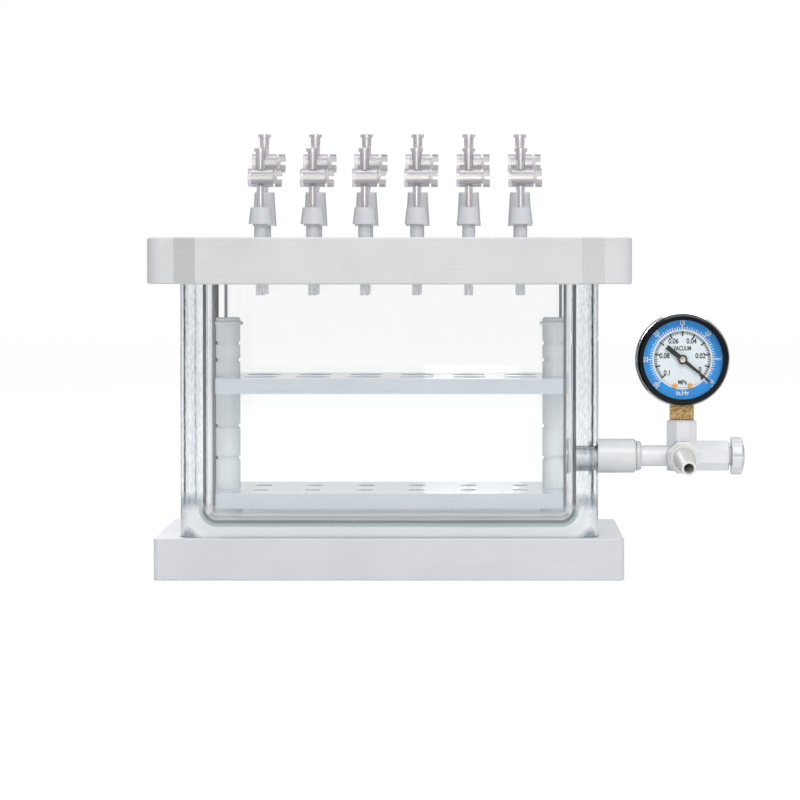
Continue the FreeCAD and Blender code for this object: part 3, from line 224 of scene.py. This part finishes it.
painted_corner_shade = banded(tree, wall_part.outputs["X"], (
    (0.03, "#434A57", 0.0), (0.08, "#434A57", 0.85),
    (0.20, "#434A57", 0.85), (0.28, "#434A57", 0.0),
    (0.64, "#343B47", 0.0), (0.71, "#343B47", 0.95),
    (0.95, "#343B47", 0.95), (0.99, "#343B47", 0.0)))

# Above the base the wall is painted with bands of light and shade that stand in for what the edge
# of the tank's floor bends and reflects: a pale band, a thin green line where the pressed floor
# ends, then a dark line and fainter ones. On the long walls they turn up round the bottom corners,
# where the thick glass leaves a blue-grey wedge, painted too.
TURN_X, TURN_Z = 0.1022, 0.0427
BANDS_LOW, BANDS_HIGH = 0.0206, 0.0446
BANDS_FULL, BANDS_GONE = 0.041, 0.046
low = add_node(tree, "ShaderNodeMath", {"operation": "MULTIPLY_ADD"},
               {0: level_waves.outputs["Fac"], 1: 1.2 * MM, 2: axes.outputs["Z"]})
past_turn = add_node(tree, "ShaderNodeMath", {"operation": "SUBTRACT"},
                     {0: from_middle.outputs[0], 1: TURN_X})
beside = add_node(tree, "ShaderNodeMath", {"operation": "MAXIMUM"},
                  {0: past_turn.outputs[0], 1: 0.0})
on_long_wall = add_node(tree, "ShaderNodeMath", {"operation": "MULTIPLY"},
                        {0: beside.outputs[0], 1: wall_part.outputs["Y"]})
under_turn = add_node(tree, "ShaderNodeMath", {"operation": "SUBTRACT"},
                      {0: TURN_Z, 1: axes.outputs["Z"]})
under = add_node(tree, "ShaderNodeMath", {"operation": "MAXIMUM"},
                 {0: under_turn.outputs[0], 1: 0.0})
corner_way = add_node(tree, "ShaderNodeCombineXYZ", {},
                      {"X": on_long_wall.outputs[0], "Y": under.outputs[0]})
reach = add_node(tree, "ShaderNodeVectorMath", {"operation": "LENGTH"},
                 {0: corner_way.outputs[0]})
rise = add_node(tree, "ShaderNodeMath", {"operation": "SUBTRACT"},
                {0: reach.outputs["Value"], 1: under.outputs[0]})
curved = add_node(tree, "ShaderNodeMath", {"operation": "SUBTRACT"},
                  {0: low.outputs[0], 1: rise.outputs[0]})
level = add_node(tree, "ShaderNodeMapRange", {},
                 {"Value": curved.outputs[0], "From Min": BANDS_LOW, "From Max": BANDS_HIGH})
painted_floor_bands = banded(tree, level.outputs[0], (
    (0.0, "#6F878E", 0.6), (0.05, "#6F878E", 0.6), (0.11, "#F0F4F7", 0.6),
    (0.167, "#FCFDFF", 0.8), (0.333, "#EFF1F5", 0.75), (0.467, "#EFF1F5", 0.75),
    (0.50, "#8FB0B0", 0.7), (0.558, "#7FA0A1", 0.7),
    (0.583, "#3A4447", 0.8), (0.642, "#3A4447", 0.8),
    (0.667, "#E4E8EE", 0.45), (0.733, "#C4CCD6", 0.3), (0.783, "#F4F6FA", 0.45),
    (0.833, "#9AA4B0", 0.3), (0.933, "#9AA4B0", 0.3), (0.975, "#9AA4B0", 0.0)))
ending = add_node(tree, "ShaderNodeMapRange", {},
                  {"Value": axes.outputs["Z"], "From Min": BANDS_GONE, "From Max": BANDS_FULL})
in_corner = add_node(tree, "ShaderNodeMath", {"operation": "MULTIPLY"},
                     {0: painted_corner_shade.outputs["Alpha"], 1: inside.outputs[0]})
floor_part = add_node(tree, "ShaderNodeMath", {"operation": "MULTIPLY"},
                      {0: painted_floor_bands.outputs["Alpha"], 1: outside.outputs[0]})
by_floor = add_node(tree, "ShaderNodeMath", {"operation": "MULTIPLY"},
                    {0: floor_part.outputs[0], 1: ending.outputs[0]})
covered = add_node(tree, "ShaderNodeMath", {"operation": "MAXIMUM"},
                   {0: in_corner.outputs[0], 1: by_floor.outputs[0]})
clear = add_node(tree, "ShaderNodeMath", {"operation": "SUBTRACT"},
                 {0: 1.0, 1: covered.outputs[0]})
tree.links.new(clear.outputs[0], shader.inputs["Transmission Weight"])

# The end walls are painted with blue-grey streaks that stand in for the light their wavy glass
# bends, and the whole glass is faintly green in its depth.
mottle = add_node(tree, "ShaderNodeMapRange", {},
                  {"Value": upright_waves.outputs["Fac"], "From Min": 0.4, "From Max": 0.62,
                   "To Max": 0.65})
streaks = add_node(tree, "ShaderNodeMath", {"operation": "MULTIPLY"},
                   {0: mottle.outputs[0], 1: near_ends.outputs[0]})
painted_end_streaks = add_node(tree, "ShaderNodeMix", {"data_type": "RGBA"},
                {0: streaks.outputs[0], 6: paint("#FFFFFF"), 7: paint("#A9B6CC")})
lined = add_node(tree, "ShaderNodeMix", {"data_type": "RGBA"},
                 {0: in_corner.outputs[0], 6: painted_end_streaks.outputs[2], 7: painted_corner_shade.outputs["Color"]})
colours = add_node(tree, "ShaderNodeMix", {"data_type": "RGBA"},
                   {0: by_floor.outputs[0], 6: lined.outputs[2], 7: painted_floor_bands.outputs["Color"]})
tree.links.new(colours.outputs[2], shader.inputs["Base Color"])
tint = add_node(tree, "ShaderNodeVolumeAbsorption", {},
                {"Color": paint("#D3E4E3"), "Density": 2.5})
tree.links.new(tint.outputs[0], tree.nodes["Material Output"].inputs["Volume"])
lamps_pass(pressed_glass)
put_on(pressed_glass, "glass_tank")

# Lid gasket: a flat frame of white silicone rubber, cut from sheet and laid in the lid's groove.
# Its face is soft and matt, with a fine grain from the press.
silicone, tree, shader, place = new_material("silicone_rubber_sheet", "#E6E6E4", 0.6)
uneven_skin(tree, shader, place, 0.8, 0.3, 0.03)
put_on(silicone, "lid_gasket")

# Lid: the same milled polypropylene as the base, with a finer cut that shows as level lines on
# its front and on the stepped grips at its ends.
put_on(milled_polypropylene("polypropylene_milled_lid", "#D8D8DA", "#CACBCE", 0.5, 0.42), "lid")

# Port fittings: moulded white polypropylene cones pressed through the lid. The thin outlet stub
# under the lid lets light through.
STUB_TOP, STUB_CLEAR = 0.1765, 0.1755
luer_white, tree, shader, place = new_material(
    "polypropylene_moulded_fitting", "#CDCFD4", 0.25, IOR=1.49, Subsurface_Weight=0.25,
    Subsurface_Scale=2 * MM)
height = add_node(tree, "ShaderNodeSeparateXYZ", {}, {"Vector": place})
thin = add_node(tree, "ShaderNodeMapRange", {},
                {"Value": height.outputs["Z"], "From Min": STUB_TOP, "From Max": STUB_CLEAR,
                 "To Max": 0.9})
tree.links.new(thin.outputs[0], shader.inputs["Transmission Weight"])
clearer = add_node(tree, "ShaderNodeMix", {"data_type": "RGBA"},
                   {0: thin.outputs[0], 6: paint("#D3D5D9"), 7: paint("#FBFCFF")})
# Painted shade: the cones' colour darkens at their rims.
tree.links.new(rim_shade(tree, clearer.outputs[2], "#A6A8AF"), shader.inputs["Base Color"])
uneven_gloss(tree, shader, place, 6, 0.16, 0.3)
put_on(luer_white, "short_fittings", "tall_fittings")

# Stopcocks: clear polycarbonate mouldings with a natural polyethylene plug. The clear body's
# colour has a painted highlight, a bright band along the middle of each round form, and a painted
# grey rim shade, and the plug is milky.
PORTS = range(1, 13)
clear_moulding, tree, shader, place = new_material(
    "polycarbonate_clear_stopcock", "#F4F2F2", 0.06, IOR=1.58, Transmission_Weight=0.88)
uneven_skin(tree, shader, place, 2.5, 0.25, 0.1)
turned = add_node(tree, "ShaderNodeLayerWeight", {}, {"Blend": 0.5}).outputs["Facing"]
# Painted highlight where the surface faces the eye, painted shade at the rims.
painted_band_and_rim = banded(tree, turned, (
    (0.0, "#F8F5F2", 0.4), (0.008, "#F8F5F2", 0.4), (0.03, "#D9D5DA", 0.15),
    (0.4, "#D2CED4", 0.15), (0.85, "#625F68", 0.15)))
tree.links.new(painted_band_and_rim.outputs["Color"], shader.inputs["Base Color"])
see_through = add_node(tree, "ShaderNodeMath", {"operation": "SUBTRACT"},
                       {0: 1.0, 1: painted_band_and_rim.outputs["Alpha"]})
tree.links.new(see_through.outputs[0], shader.inputs["Transmission Weight"])
lamps_pass(clear_moulding)
put_on(clear_moulding, *[f"stopcock_body_{port:02d}" for port in PORTS])

milky_plug, tree, shader, place = new_material(
    "polyethylene_natural_plug", "#D6D4D8", 0.22, IOR=1.5, Transmission_Weight=0.55)
uneven_gloss(tree, shader, place, 3, 0.14, 0.3)
# Painted shade: the plug's colour darkens at its rims.
tree.links.new(rim_shade(tree, paint("#E2DFE0"), "#8F8C94"), shader.inputs["Base Color"])
put_on(milky_plug, *[f"stopcock_plug_{port:02d}" for port in PORTS])

# Tube rack: plates, turned posts and feet of a cooler white plastic, with snap rings in the posts'
# grooves. The plates keep their milling lines and the posts their fine turning marks.
put_on(milled_polypropylene("polypropylene_milled_rack", "#D7DDE4", "#CDD5DD", 0.8, 0.1),
       "rack_bottom_plate", "rack_middle_plate")

turned_plastic, tree, shader, place = new_material(
    "acetal_turned_post", "#E6E9EB", 0.2, Specular_IOR_Level=0.5)
turning_place = add_node(tree, "ShaderNodeMapping", {},
                         {"Vector": place, "Scale": (4.0, 4.0, 1 / (0.6 * MM))})
turning = add_node(tree, "ShaderNodeTexNoise", {},
                   {"Vector": turning_place.outputs[0], "Scale": 1.0, "Detail": 1.0})
marks = add_node(tree, "ShaderNodeBump", {},
                 {"Height": turning.outputs["Fac"], "Strength": 0.3, "Distance": 0.03 * MM})
tree.links.new(marks.outputs[0], shader.inputs["Normal"])
# Painted shade: the turned parts' colour darkens where they turn away.
tree.links.new(rim_shade(tree, paint("#EDF0F2"), "#C3C8CC"), shader.inputs["Base Color"])
put_on(turned_plastic, "post_left", "post_right", "foot_left", "foot_right",
       "stop_rings", "support_rings")

# Port adaptor: a moulded bulkhead fitting with its nut inside the tank and a black washer between
# its shoulder and the glass. The satin white skin has a faint swirl from the mould.


def moulded_plastic(name, colour, shade, rim="#B4B5B9", gloss_low=0.16):
    """Moulded fitting: satin skin, a faint flow swirl in the white and in the gloss; painted rim
    shade.
    """
    material, tree, shader, place = new_material(name, colour, 0.3, Specular_IOR_Level=0.5)
    swirl = add_node(tree, "ShaderNodeTexNoise", {},
                     {"Vector": place, "Scale": 1 / (9 * MM), "Detail": 3.0, "Distortion": 0.6})
    colours = add_node(tree, "ShaderNodeMix", {"data_type": "RGBA"},
                       {0: swirl.outputs["Fac"], 6: paint(shade), 7: paint(colour)})
    # Painted shade: the colour darkens where the form turns away, towards its rims.
    painted_rim_shade = rim_shade(tree, colours.outputs[2], rim)
    tree.links.new(painted_rim_shade, shader.inputs["Base Color"])
    gloss = add_node(tree, "ShaderNodeMapRange", {},
                     {"Value": swirl.outputs["Fac"], "To Min": gloss_low,
                      "To Max": gloss_low + 0.12})
    tree.links.new(gloss.outputs[0], shader.inputs["Roughness"])
    return material


fitting_white = moulded_plastic("nylon_moulded_adaptor", "#E9EAEC", "#E1E2E4")
put_on(fitting_white, "port_adaptor", "port_nut")

black_rubber, tree, shader, place = new_material("nitrile_rubber_seal", "#1B1B1C", 0.55)
uneven_skin(tree, shader, place, 0.5, 0.4, 0.03)
put_on(black_rubber, "port_seal", "stem_seal")

# Shank thread: the moulded ridges on the adaptor's shank, seen through the wall of the glass.
# They are a thin sleeve of rings round the plain shank, at the pitch of a fine thread.
AXIS_Z = (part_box("port_adaptor")[0].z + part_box("port_adaptor")[1].z) / 2
THREAD_PITCH = 1.5 * MM
THREAD_ROOT = 7.45 * MM
THREAD_CREST = 7.9 * MM
THREAD_START = 112.2 * MM
THREAD_TURNS = 8

ridges = bmesh.new()
previous = None
for step in range(THREAD_TURNS * 2 + 1):
    radius = THREAD_CREST if step % 2 else THREAD_ROOT
    spot = ridges.verts.new((THREAD_START + step * THREAD_PITCH / 2, 0.0, radius))
    if previous:
        ridges.edges.new((previous, spot))
    previous = spot
bmesh.ops.spin(ridges, geom=ridges.verts[:] + ridges.edges[:], cent=(0, 0, 0), axis=(1, 0, 0),
               dvec=(0, 0, 0), angle=math.tau, steps=64, use_merge=True)
bmesh.ops.recalc_face_normals(ridges, faces=ridges.faces[:])
bmesh.ops.translate(ridges, verts=ridges.verts[:], vec=(0, 0, AXIS_Z))


def new_piece(name, shape, material, body, smooth=True):
    """Turns a bmesh into an object that rides on a CAD body."""
    mesh = bpy.data.meshes.new(name)
    shape.to_mesh(mesh)
    shape.free()
    for face in mesh.polygons:
        face.use_smooth = smooth
    mesh.materials.append(material)
    piece = bpy.data.objects.new(name, mesh)
    bpy.context.scene.collection.objects.link(piece)
    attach(piece, body)
    return piece


new_piece("shank_thread", ridges, fitting_white, "base")

# Collet, tube and cross: a push-in joint with a stiff white tube into a moulded cross of octagonal
# arms. The hose barb and the bleed valve are of the same white plastic.
put_on(moulded_plastic("acetal_moulded_collet", "#DFDFE1", "#D3D3D6"), "adaptor_collet")
put_on(moulded_plastic("nylon_extruded_tube", "#F0F1F4", "#E9EBEE"), "connecting_tube")
put_on(moulded_plastic("nylon_moulded_cross", "#EAEBEE", "#E2E4E7"), "valve_cross")
thin_walled = moulded_plastic("nylon_moulded_barb", "#E9E9E6", "#DDDDDA", "#C2C1BD", 0.36)
glow_through = thin_walled.node_tree.nodes["Principled BSDF"].inputs
glow_through["Subsurface Weight"].default_value = 0.9
glow_through["Subsurface Radius"].default_value = (1.0, 0.95, 0.85)
glow_through["Subsurface Scale"].default_value = 3 * MM
glow_through["Specular IOR Level"].default_value = 0.25
put_on(thin_walled, "hose_barb")
put_on(moulded_plastic("nylon_moulded_grip", "#E6E7EA", "#DCDEE2"), "bleed_valve")

# Gauge socket, coiled tube and movement: brass. The socket is sawn bar with a rough, speckled
# skin; the parts inside the case are drawn and stamped.
rough_brass, tree, shader, place = new_material("brass_sawn_bar", "#C39A5E", 0.42, Metallic=1.0)
speckle = add_node(tree, "ShaderNodeTexNoise", {},
                   {"Vector": place, "Scale": 1 / (1.1 * MM), "Detail": 4.0, "Roughness": 0.7})
patch = add_node(tree, "ShaderNodeMapRange", {},
                 {"Value": speckle.outputs["Fac"], "From Min": 0.35, "From Max": 0.65})
colours = add_node(tree, "ShaderNodeMix", {"data_type": "RGBA"},
                   {0: patch.outputs[0], 6: paint("#80602F"), 7: paint("#D8B98A")})
tree.links.new(colours.outputs[2], shader.inputs["Base Color"])
pits = add_node(tree, "ShaderNodeBump", {},
                {"Height": speckle.outputs["Fac"], "Strength": 0.6, "Distance": 0.15 * MM})
tree.links.new(pits.outputs[0], shader.inputs["Normal"])
put_on(rough_brass, "gauge_socket")

drawn_brass, tree, shader, place = new_material("brass_drawn_strip", "#C9A66B", 0.25, Metallic=1.0)
uneven_gloss(tree, shader, place, 0.6, 0.18, 0.36)
put_on(drawn_brass, "bourdon_tube", "gauge_movement")

# Dial screws: two small turned brass screws that hold the dial in its case. Their lacquer is a
# warm orange and dulled where the driver slipped.
lacquered, tree, shader, place = new_material("brass_lacquered_screw", "#C98B3A", 0.4,
                                              Metallic=1.0)
uneven_gloss(tree, shader, place, 0.5, 0.32, 0.5)
put_on(lacquered, "dial_screws")

# Gauge case: a drawn steel cup with bright chrome plate, a pressed steel bezel in black enamel
# with a faint orange peel, and a clean float glass window under it.
chrome, tree, shader, place = new_material("steel_chrome_plated", "#C9CACD", 0.08, Metallic=1.0)
uneven_gloss(tree, shader, place, 7, 0.05, 0.14, detail=3.0)
put_on(chrome, "gauge_case")

enamel, tree, shader, place = new_material(
    "steel_black_enamel", "#060A10", 0.13, Specular_IOR_Level=0.3)
uneven_skin(tree, shader, place, 1.5, 0.2, 0.02)
put_on(enamel, "gauge_bezel")

window_glass, tree, shader, place = new_material(
    "glass_float_window", "#FBFDFD", 0.0, IOR=1.38, Transmission_Weight=1.0)
uneven_gloss(tree, shader, place, 12, 0.0, 0.03)
lamps_pass(window_glass)
put_on(window_glass, "gauge_window")

# Dial: printed aluminium. A blue band carries the outer scale in white, and a pale disc inside a
# white ring carries the inner scale in black.
dial_low, dial_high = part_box("gauge_dial")
DIAL_X = (dial_low.x + dial_high.x) / 2
DIAL_Z = (dial_low.z + dial_high.z) / 2
DIAL_Y = dial_low.y


def printed_ink(name, colour, roughness):
    """Screen-printed ink: flat colour with a slightly uneven gloss."""
    material, tree, shader, place = new_material(name, colour, roughness,
                                                 Specular_IOR_Level=0.25)
    uneven_gloss(tree, shader, place, 1.5, roughness - 0.06, roughness + 0.06)
    return material


blue_ink = printed_ink("ink_printed_blue", "#00A0FB", 0.4)
white_ink = printed_ink("ink_printed_white", "#F6F8FA", 0.4)
pale_ink = printed_ink("ink_printed_pale", "#F4FAFF", 0.4)
black_ink = printed_ink("ink_printed_black", "#08080A", 0.45)
put_on(blue_ink, "gauge_dial")

INK = 0.02 * MM
HOLE_RADIUS = 1.4
RING_INNER, RING_OUTER, PALE_OUTER = 17.4, 18.4, 17.5
LINE_INNER, LINE_OUTER = 17.15, 17.32


def printed_ring(name, inner, outer, layer, material):
    """A flat printed ring on the dial, radii in millimetres; a layer is one film of ink thick."""
    shape = bmesh.new()
    near = shape.verts.new((inner * MM, 0.0, 0.0))
    far = shape.verts.new((outer * MM, 0.0, 0.0))
    shape.edges.new((near, far))
    bmesh.ops.spin(shape, geom=shape.verts[:] + shape.edges[:], cent=(0, 0, 0), axis=(0, 1, 0),
                   dvec=(0, 0, 0), angle=math.tau, steps=96, use_merge=True)
    bmesh.ops.recalc_face_normals(shape, faces=shape.faces[:])
    if shape.faces[:][0].normal.y > 0:
        bmesh.ops.reverse_faces(shape, faces=shape.faces[:])
    bmesh.ops.translate(shape, verts=shape.verts[:], vec=(DIAL_X, DIAL_Y - layer * INK, DIAL_Z))
    return new_piece(name, shape, material, "base", smooth=False)


printed_ring("dial_white_ring", RING_INNER, RING_OUTER, 1, white_ink)
printed_ring("dial_pale_disc", HOLE_RADIUS, PALE_OUTER, 2, pale_ink)


def on_scale(angle, radius):
    """A spot on the dial at an angle from +X, counter-clockwise to the reader, radius in mm."""
    turn = math.radians(angle)
    return DIAL_X + radius * MM * math.cos(turn), DIAL_Z + radius * MM * math.sin(turn)


def printed_ticks(name, marks, layer, material):
    """Scale marks, each an angle with its inner radius, outer radius and width in millimetres."""
    shape = bmesh.new()
    for angle, inner, outer, width in marks:
        square = bmesh.ops.create_grid(shape, x_segments=1, y_segments=1, size=0.5)["verts"]
        middle_x, middle_z = on_scale(angle, (inner + outer) / 2)
        fit = Matrix.Diagonal(((outer - inner) * MM, width * MM, 1.0, 1.0))
        turn = Matrix.Rotation(math.radians(angle), 4, "Z")
        stand = Matrix.Rotation(math.pi / 2, 4, "X")
        go = Matrix.Translation((middle_x, DIAL_Y - layer * INK, middle_z))
        bmesh.ops.transform(shape, matrix=go @ stand @ turn @ fit, verts=square)
    return new_piece(name, shape, material, "base", smooth=False)


OUTER_ZERO, OUTER_FULL, OUTER_TOP = -44.0, 225.0, 30
OUTER_FOOT, OUTER_LONG, OUTER_MIDDLE, OUTER_SHORT = 18.3, 21.2, 20.4, 19.9
outer_marks = []
for half in range(OUTER_TOP * 2 + 1):
    angle = OUTER_ZERO + (OUTER_FULL - OUTER_ZERO) * half / (OUTER_TOP * 2)
    reach = OUTER_LONG if half % 10 == 0 else OUTER_MIDDLE if half % 2 == 0 else OUTER_SHORT
    outer_marks.append((angle, OUTER_FOOT, reach, 0.8 if half % 10 == 0 else 0.5))
printed_ticks("dial_outer_scale", outer_marks, 1, white_ink)

INNER_ZERO, INNER_FULL, INNER_TOP = -42.0, 222.0, 50
INNER_FOOT, INNER_LONG, INNER_MIDDLE, INNER_SHORT = 17.2, 14.2, 15.3, 15.9
inner_marks = []
for part in range(INNER_TOP + 1):
    angle = INNER_ZERO + (INNER_FULL - INNER_ZERO) * part / INNER_TOP
    reach = INNER_LONG if part % 5 == 0 else INNER_MIDDLE
    inner_marks.append((angle, reach, INNER_FOOT, 0.95 if part % 5 == 0 else 0.5))
    if part < INNER_TOP:
        between = angle + (INNER_FULL - INNER_ZERO) / INNER_TOP / 2
        inner_marks.append((between, INNER_SHORT, INNER_FOOT, 0.4))
past_zero = (OUTER_ZERO - 1, 15.8, INNER_FOOT, 1.1)
inner_marks.append(past_zero)
printed_ticks("dial_inner_scale", inner_marks, 3, black_ink)
printed_ring("dial_black_circle", LINE_INNER, LINE_OUTER, 3, black_ink)

BOLDER = 0.03


def printed_words(name, words, angle, radius, tall, turn, layer, material, squeeze=1.0):
    """Figures or units on the dial: a text made a flat mesh, turned and set in place, in mm."""
    letters = bpy.data.curves.new(name, "FONT")
    letters.body = words
    letters.size = tall * MM
    letters.align_x = "CENTER"
    letters.align_y = "CENTER"
    letters.offset = BOLDER * tall * MM
    draft = bpy.data.objects.new(name + "_draft", letters)
    bpy.context.scene.collection.objects.link(draft)
    bpy.context.view_layer.update()
    mesh = bpy.data.meshes.new_from_object(draft)
    bpy.data.objects.remove(draft)
    shape = bmesh.new()
    shape.from_mesh(mesh)
    bpy.data.meshes.remove(mesh)
    bmesh.ops.triangulate(shape, faces=shape.faces[:])
    middle_x, middle_z = on_scale(angle, radius)
    go = Matrix.Translation((middle_x, DIAL_Y - layer * INK, middle_z))
    stand = Matrix.Rotation(math.pi / 2, 4, "X")
    spin = Matrix.Rotation(math.radians(turn), 4, "Z")
    fit = Matrix.Diagonal((squeeze, 1.0, 1.0, 1.0))
    bmesh.ops.transform(shape, matrix=go @ stand @ spin @ fit, verts=shape.verts[:])
    return new_piece(name, shape, material, "base", smooth=False)


for number in range(0, OUTER_TOP + 1, 5):
    angle = OUTER_ZERO + (OUTER_FULL - OUTER_ZERO) * number / OUTER_TOP
    if number == 0:
        angle += 7
    printed_words(f"dial_outer_{number}", str(number), angle, 22.3, 3.7, angle - 90, 1, white_ink)
for number, (words, radius) in enumerate((("0", 12.5), ("0.02", 11.2), ("0.04", 12.4),
                                          ("0.06", 12.4), ("0.08", 11.2), ("0.1", 12.5))):
    angle = INNER_ZERO + (INNER_FULL - INNER_ZERO) * number / 5
    if number == 0:
        angle += 12
    printed_words(f"dial_inner_{number}", words, angle, radius, 4.4, 0, 3, black_ink, 0.82)
printed_words("dial_word", "VACUUM", 90, 6.7, 3.8, 0, 3, black_ink, 0.68)
printed_words("dial_inner_unit", "MPa", -90, 14.1, 3.9, 0, 3, black_ink, 0.82)
printed_words("dial_outer_unit", "in.Hg", -90, 20.6, 4.1, 0, 1, white_ink, 0.9)

# Needle: a stamped aluminium pointer with a black enamel coat, staked on the arbor. A small
# nickel-plated screw with a dished head shines in the middle of its hub.
needle_black, tree, shader, place = new_material("aluminium_black_enamel", "#040406", 0.45,
                                                 Specular_IOR_Level=0.2)
uneven_skin(tree, shader, place, 0.8, 0.2, 0.02)
put_on(needle_black, "gauge_needle")

nickel, tree, shader, place = new_material("brass_nickel_plated", "#B5AD9C", 0.34, Metallic=1.0)
uneven_gloss(tree, shader, place, 0.7, 0.28, 0.42)
head = bmesh.new()
hub_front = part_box("gauge_needle")[0].y
bmesh.ops.create_cone(head, cap_ends=True, segments=32, radius1=2.15 * MM, radius2=1.8 * MM,
                      depth=0.45 * MM)
bmesh.ops.bevel(head, geom=head.edges[:], offset=0.08 * MM, segments=2, affect="EDGES",
                profile=0.5, material=-1)
top = max(head.faces, key=lambda face: face.calc_center_median().z)
bmesh.ops.inset_individual(head, faces=[top], thickness=0.9 * MM, depth=-0.15 * MM)
bmesh.ops.rotate(head, verts=head.verts[:], cent=(0, 0, 0),
                 matrix=Matrix.Rotation(math.pi / 2, 3, "X"))
bmesh.ops.translate(head, verts=head.verts[:], vec=(DIAL_X, hub_front - 0.2 * MM, DIAL_Z))
new_piece("needle_screw", head, nickel, "needle", smooth=False)

# Studio: a pale floor and an even white surround. What the lens or the glass sees of them is
# plain white; light that bounced inside the thick glass falls off, as between dark studio walls.
FLOOR_GAP = 0.2 * MM
floor_shape = bmesh.new()
bmesh.ops.create_grid(floor_shape, x_segments=1, y_segments=1, size=4.0)
bmesh.ops.translate(floor_shape, verts=floor_shape.verts[:], vec=(0, 0, -FLOOR_GAP))
floor_mesh = bpy.data.meshes.new("floor")
floor_shape.to_mesh(floor_mesh)
floor_shape.free()
floor = bpy.data.objects.new("floor", floor_mesh)
bpy.context.scene.collection.objects.link(floor)
floor_paint, tree, shader, place = new_material("paper_white_backdrop", "#F2F2F2", 0.9)
uneven_gloss(tree, shader, place, 25, 0.85, 0.95)
glow = add_node(tree, "ShaderNodeEmission", {}, {"Color": (1, 1, 1, 1), "Strength": 1.085})
rays = add_node(tree, "ShaderNodeLightPath", {}, {})
seen = add_node(tree, "ShaderNodeMath", {"operation": "MAXIMUM"},
                {0: rays.outputs["Is Camera Ray"], 1: rays.outputs["Is Transmission Ray"]})
inside = add_node(tree, "ShaderNodeMath", {"operation": "GREATER_THAN"},
                  {0: rays.outputs["Transmission Depth"], 1: 0.5})
seen = add_node(tree, "ShaderNodeMath", {"operation": "MULTIPLY_ADD"},
                {0: inside.outputs[0], 1: rays.outputs["Is Glossy Ray"], 2: seen.outputs[0]})
seen = add_node(tree, "ShaderNodeMath", {"operation": "MINIMUM"}, {0: seen.outputs[0], 1: 1.0})
share = add_node(tree, "ShaderNodeMath", {"operation": "MULTIPLY"}, {0: seen.outputs[0], 1: 0.85})
blend = add_node(tree, "ShaderNodeMixShader", {},
                 {0: share.outputs[0], 1: shader.outputs[0], 2: glow.outputs[0]})
tree.links.new(blend.outputs[0], tree.nodes["Material Output"].inputs["Surface"])
floor_mesh.materials.append(floor_paint)

AMBIENT = 0.45
world = bpy.data.worlds.new("studio")
bpy.context.scene.world = world
world.use_nodes = True
tree = world.node_tree
surround = tree.nodes["Background"]
surround.inputs["Color"].default_value = (1, 1, 1, 1)
rays = add_node(tree, "ShaderNodeLightPath", {}, {})
clear = add_node(tree, "ShaderNodeMath", {"operation": "MAXIMUM"},
                 {0: rays.outputs["Is Camera Ray"], 1: rays.outputs["Is Transmission Ray"]})
way = add_node(tree, "ShaderNodeSeparateXYZ", {},
               {"Vector": add_node(tree, "ShaderNodeTexCoord", {}, {}).outputs["Generated"]})
overhead = add_node(tree, "ShaderNodeMapRange", {"interpolation_type": "SMOOTHSTEP"},
                    {"Value": way.outputs["Z"], "From Min": 0.15, "From Max": 0.55,
                     "To Min": 0.3, "To Max": 0.95})
backdrop = add_node(tree, "ShaderNodeMapRange", {"interpolation_type": "SMOOTHSTEP"},
                    {"Value": way.outputs["Y"], "From Min": 0.75, "From Max": 0.95})
around = add_node(tree, "ShaderNodeMath", {"operation": "MAXIMUM"},
                  {0: overhead.outputs[0], 1: backdrop.outputs[0]})
mirrored = add_node(tree, "ShaderNodeMix", {},
                    {0: rays.outputs["Is Glossy Ray"], 2: AMBIENT, 3: around.outputs[0]})
white = add_node(tree, "ShaderNodeMix", {}, {0: clear.outputs[0], 2: mirrored.outputs[0], 3: 1.0})
bounced = add_node(tree, "ShaderNodeMath", {"operation": "GREATER_THAN"},
                   {0: rays.outputs["Glossy Depth"], 1: 0.5})
passed = add_node(tree, "ShaderNodeMath", {"operation": "GREATER_THAN"},
                  {0: rays.outputs["Transmission Depth"], 1: 0.5})
trapped = add_node(tree, "ShaderNodeMath", {"operation": "MULTIPLY"},
                   {0: bounced.outputs[0], 1: passed.outputs[0]})
falloff = add_node(tree, "ShaderNodeMapRange", {},
                   {"Value": trapped.outputs[0], "To Min": 1.0, "To Max": 0.85})
strength = add_node(tree, "ShaderNodeMath", {"operation": "MULTIPLY"},
                    {0: white.outputs[0], 1: falloff.outputs[0]})
tree.links.new(strength.outputs[0], surround.inputs["Strength"])


def softbox(name, place, aim, width, height, watts):
    """A soft studio lamp that faces a point on the object."""
    lamp = bpy.data.lights.new(name, "AREA")
    lamp.shape = "RECTANGLE"
    lamp.size, lamp.size_y, lamp.energy = width, height, watts
    holder = bpy.data.objects.new(name, lamp)
    bpy.context.scene.collection.objects.link(holder)
    holder.location = place
    holder.rotation_euler = (Vector(aim) - Vector(place)).to_track_quat("-Z", "Y").to_euler()


softbox("lamp_main", (0.35, -1.3, 1.15), (0, 0, 0.1), 1.2, 0.9, 12.0)
softbox("lamp_front", (0.05, -1.75, 0.275), (0, 0, 0.12), 0.12, 0.13, 1.5)
softbox("lamp_top", (0.0, 0.0, 1.4), (0, 0, 0.1), 1.4, 1.2, 7.0)
softbox("lamp_back", (-0.6, 1.6, 1.0), (0, 0, 0.1), 0.6, 0.6, 9.0)

# Camera: a long lens at the height of the lid's top, from the front and a little to the right. It
# tips down slightly, and shifts for the rest of the photograph's framing.
SENSOR = 36.0
FOCAL_PIXELS = 2986.0
FRAME_PIXELS = 800
TILT = 1.285
camera_data = bpy.data.cameras.new("camera")
camera_data.sensor_width = SENSOR
camera_data.lens = SENSOR * FOCAL_PIXELS / FRAME_PIXELS
camera_data.shift_x = -0.09
camera_data.shift_y = -0.12
camera_data.clip_start = 0.1
camera_data.clip_end = 50.0
camera = bpy.data.objects.new("camera", camera_data)
bpy.context.scene.collection.objects.link(camera)
camera.location = (0.0494, -1.8325, 0.2041)
camera.rotation_euler = (math.radians(90.0 - TILT), 0.0, 0.0)
bpy.context.scene.camera = camera

bpy.context.scene.view_settings.view_transform = "Standard"
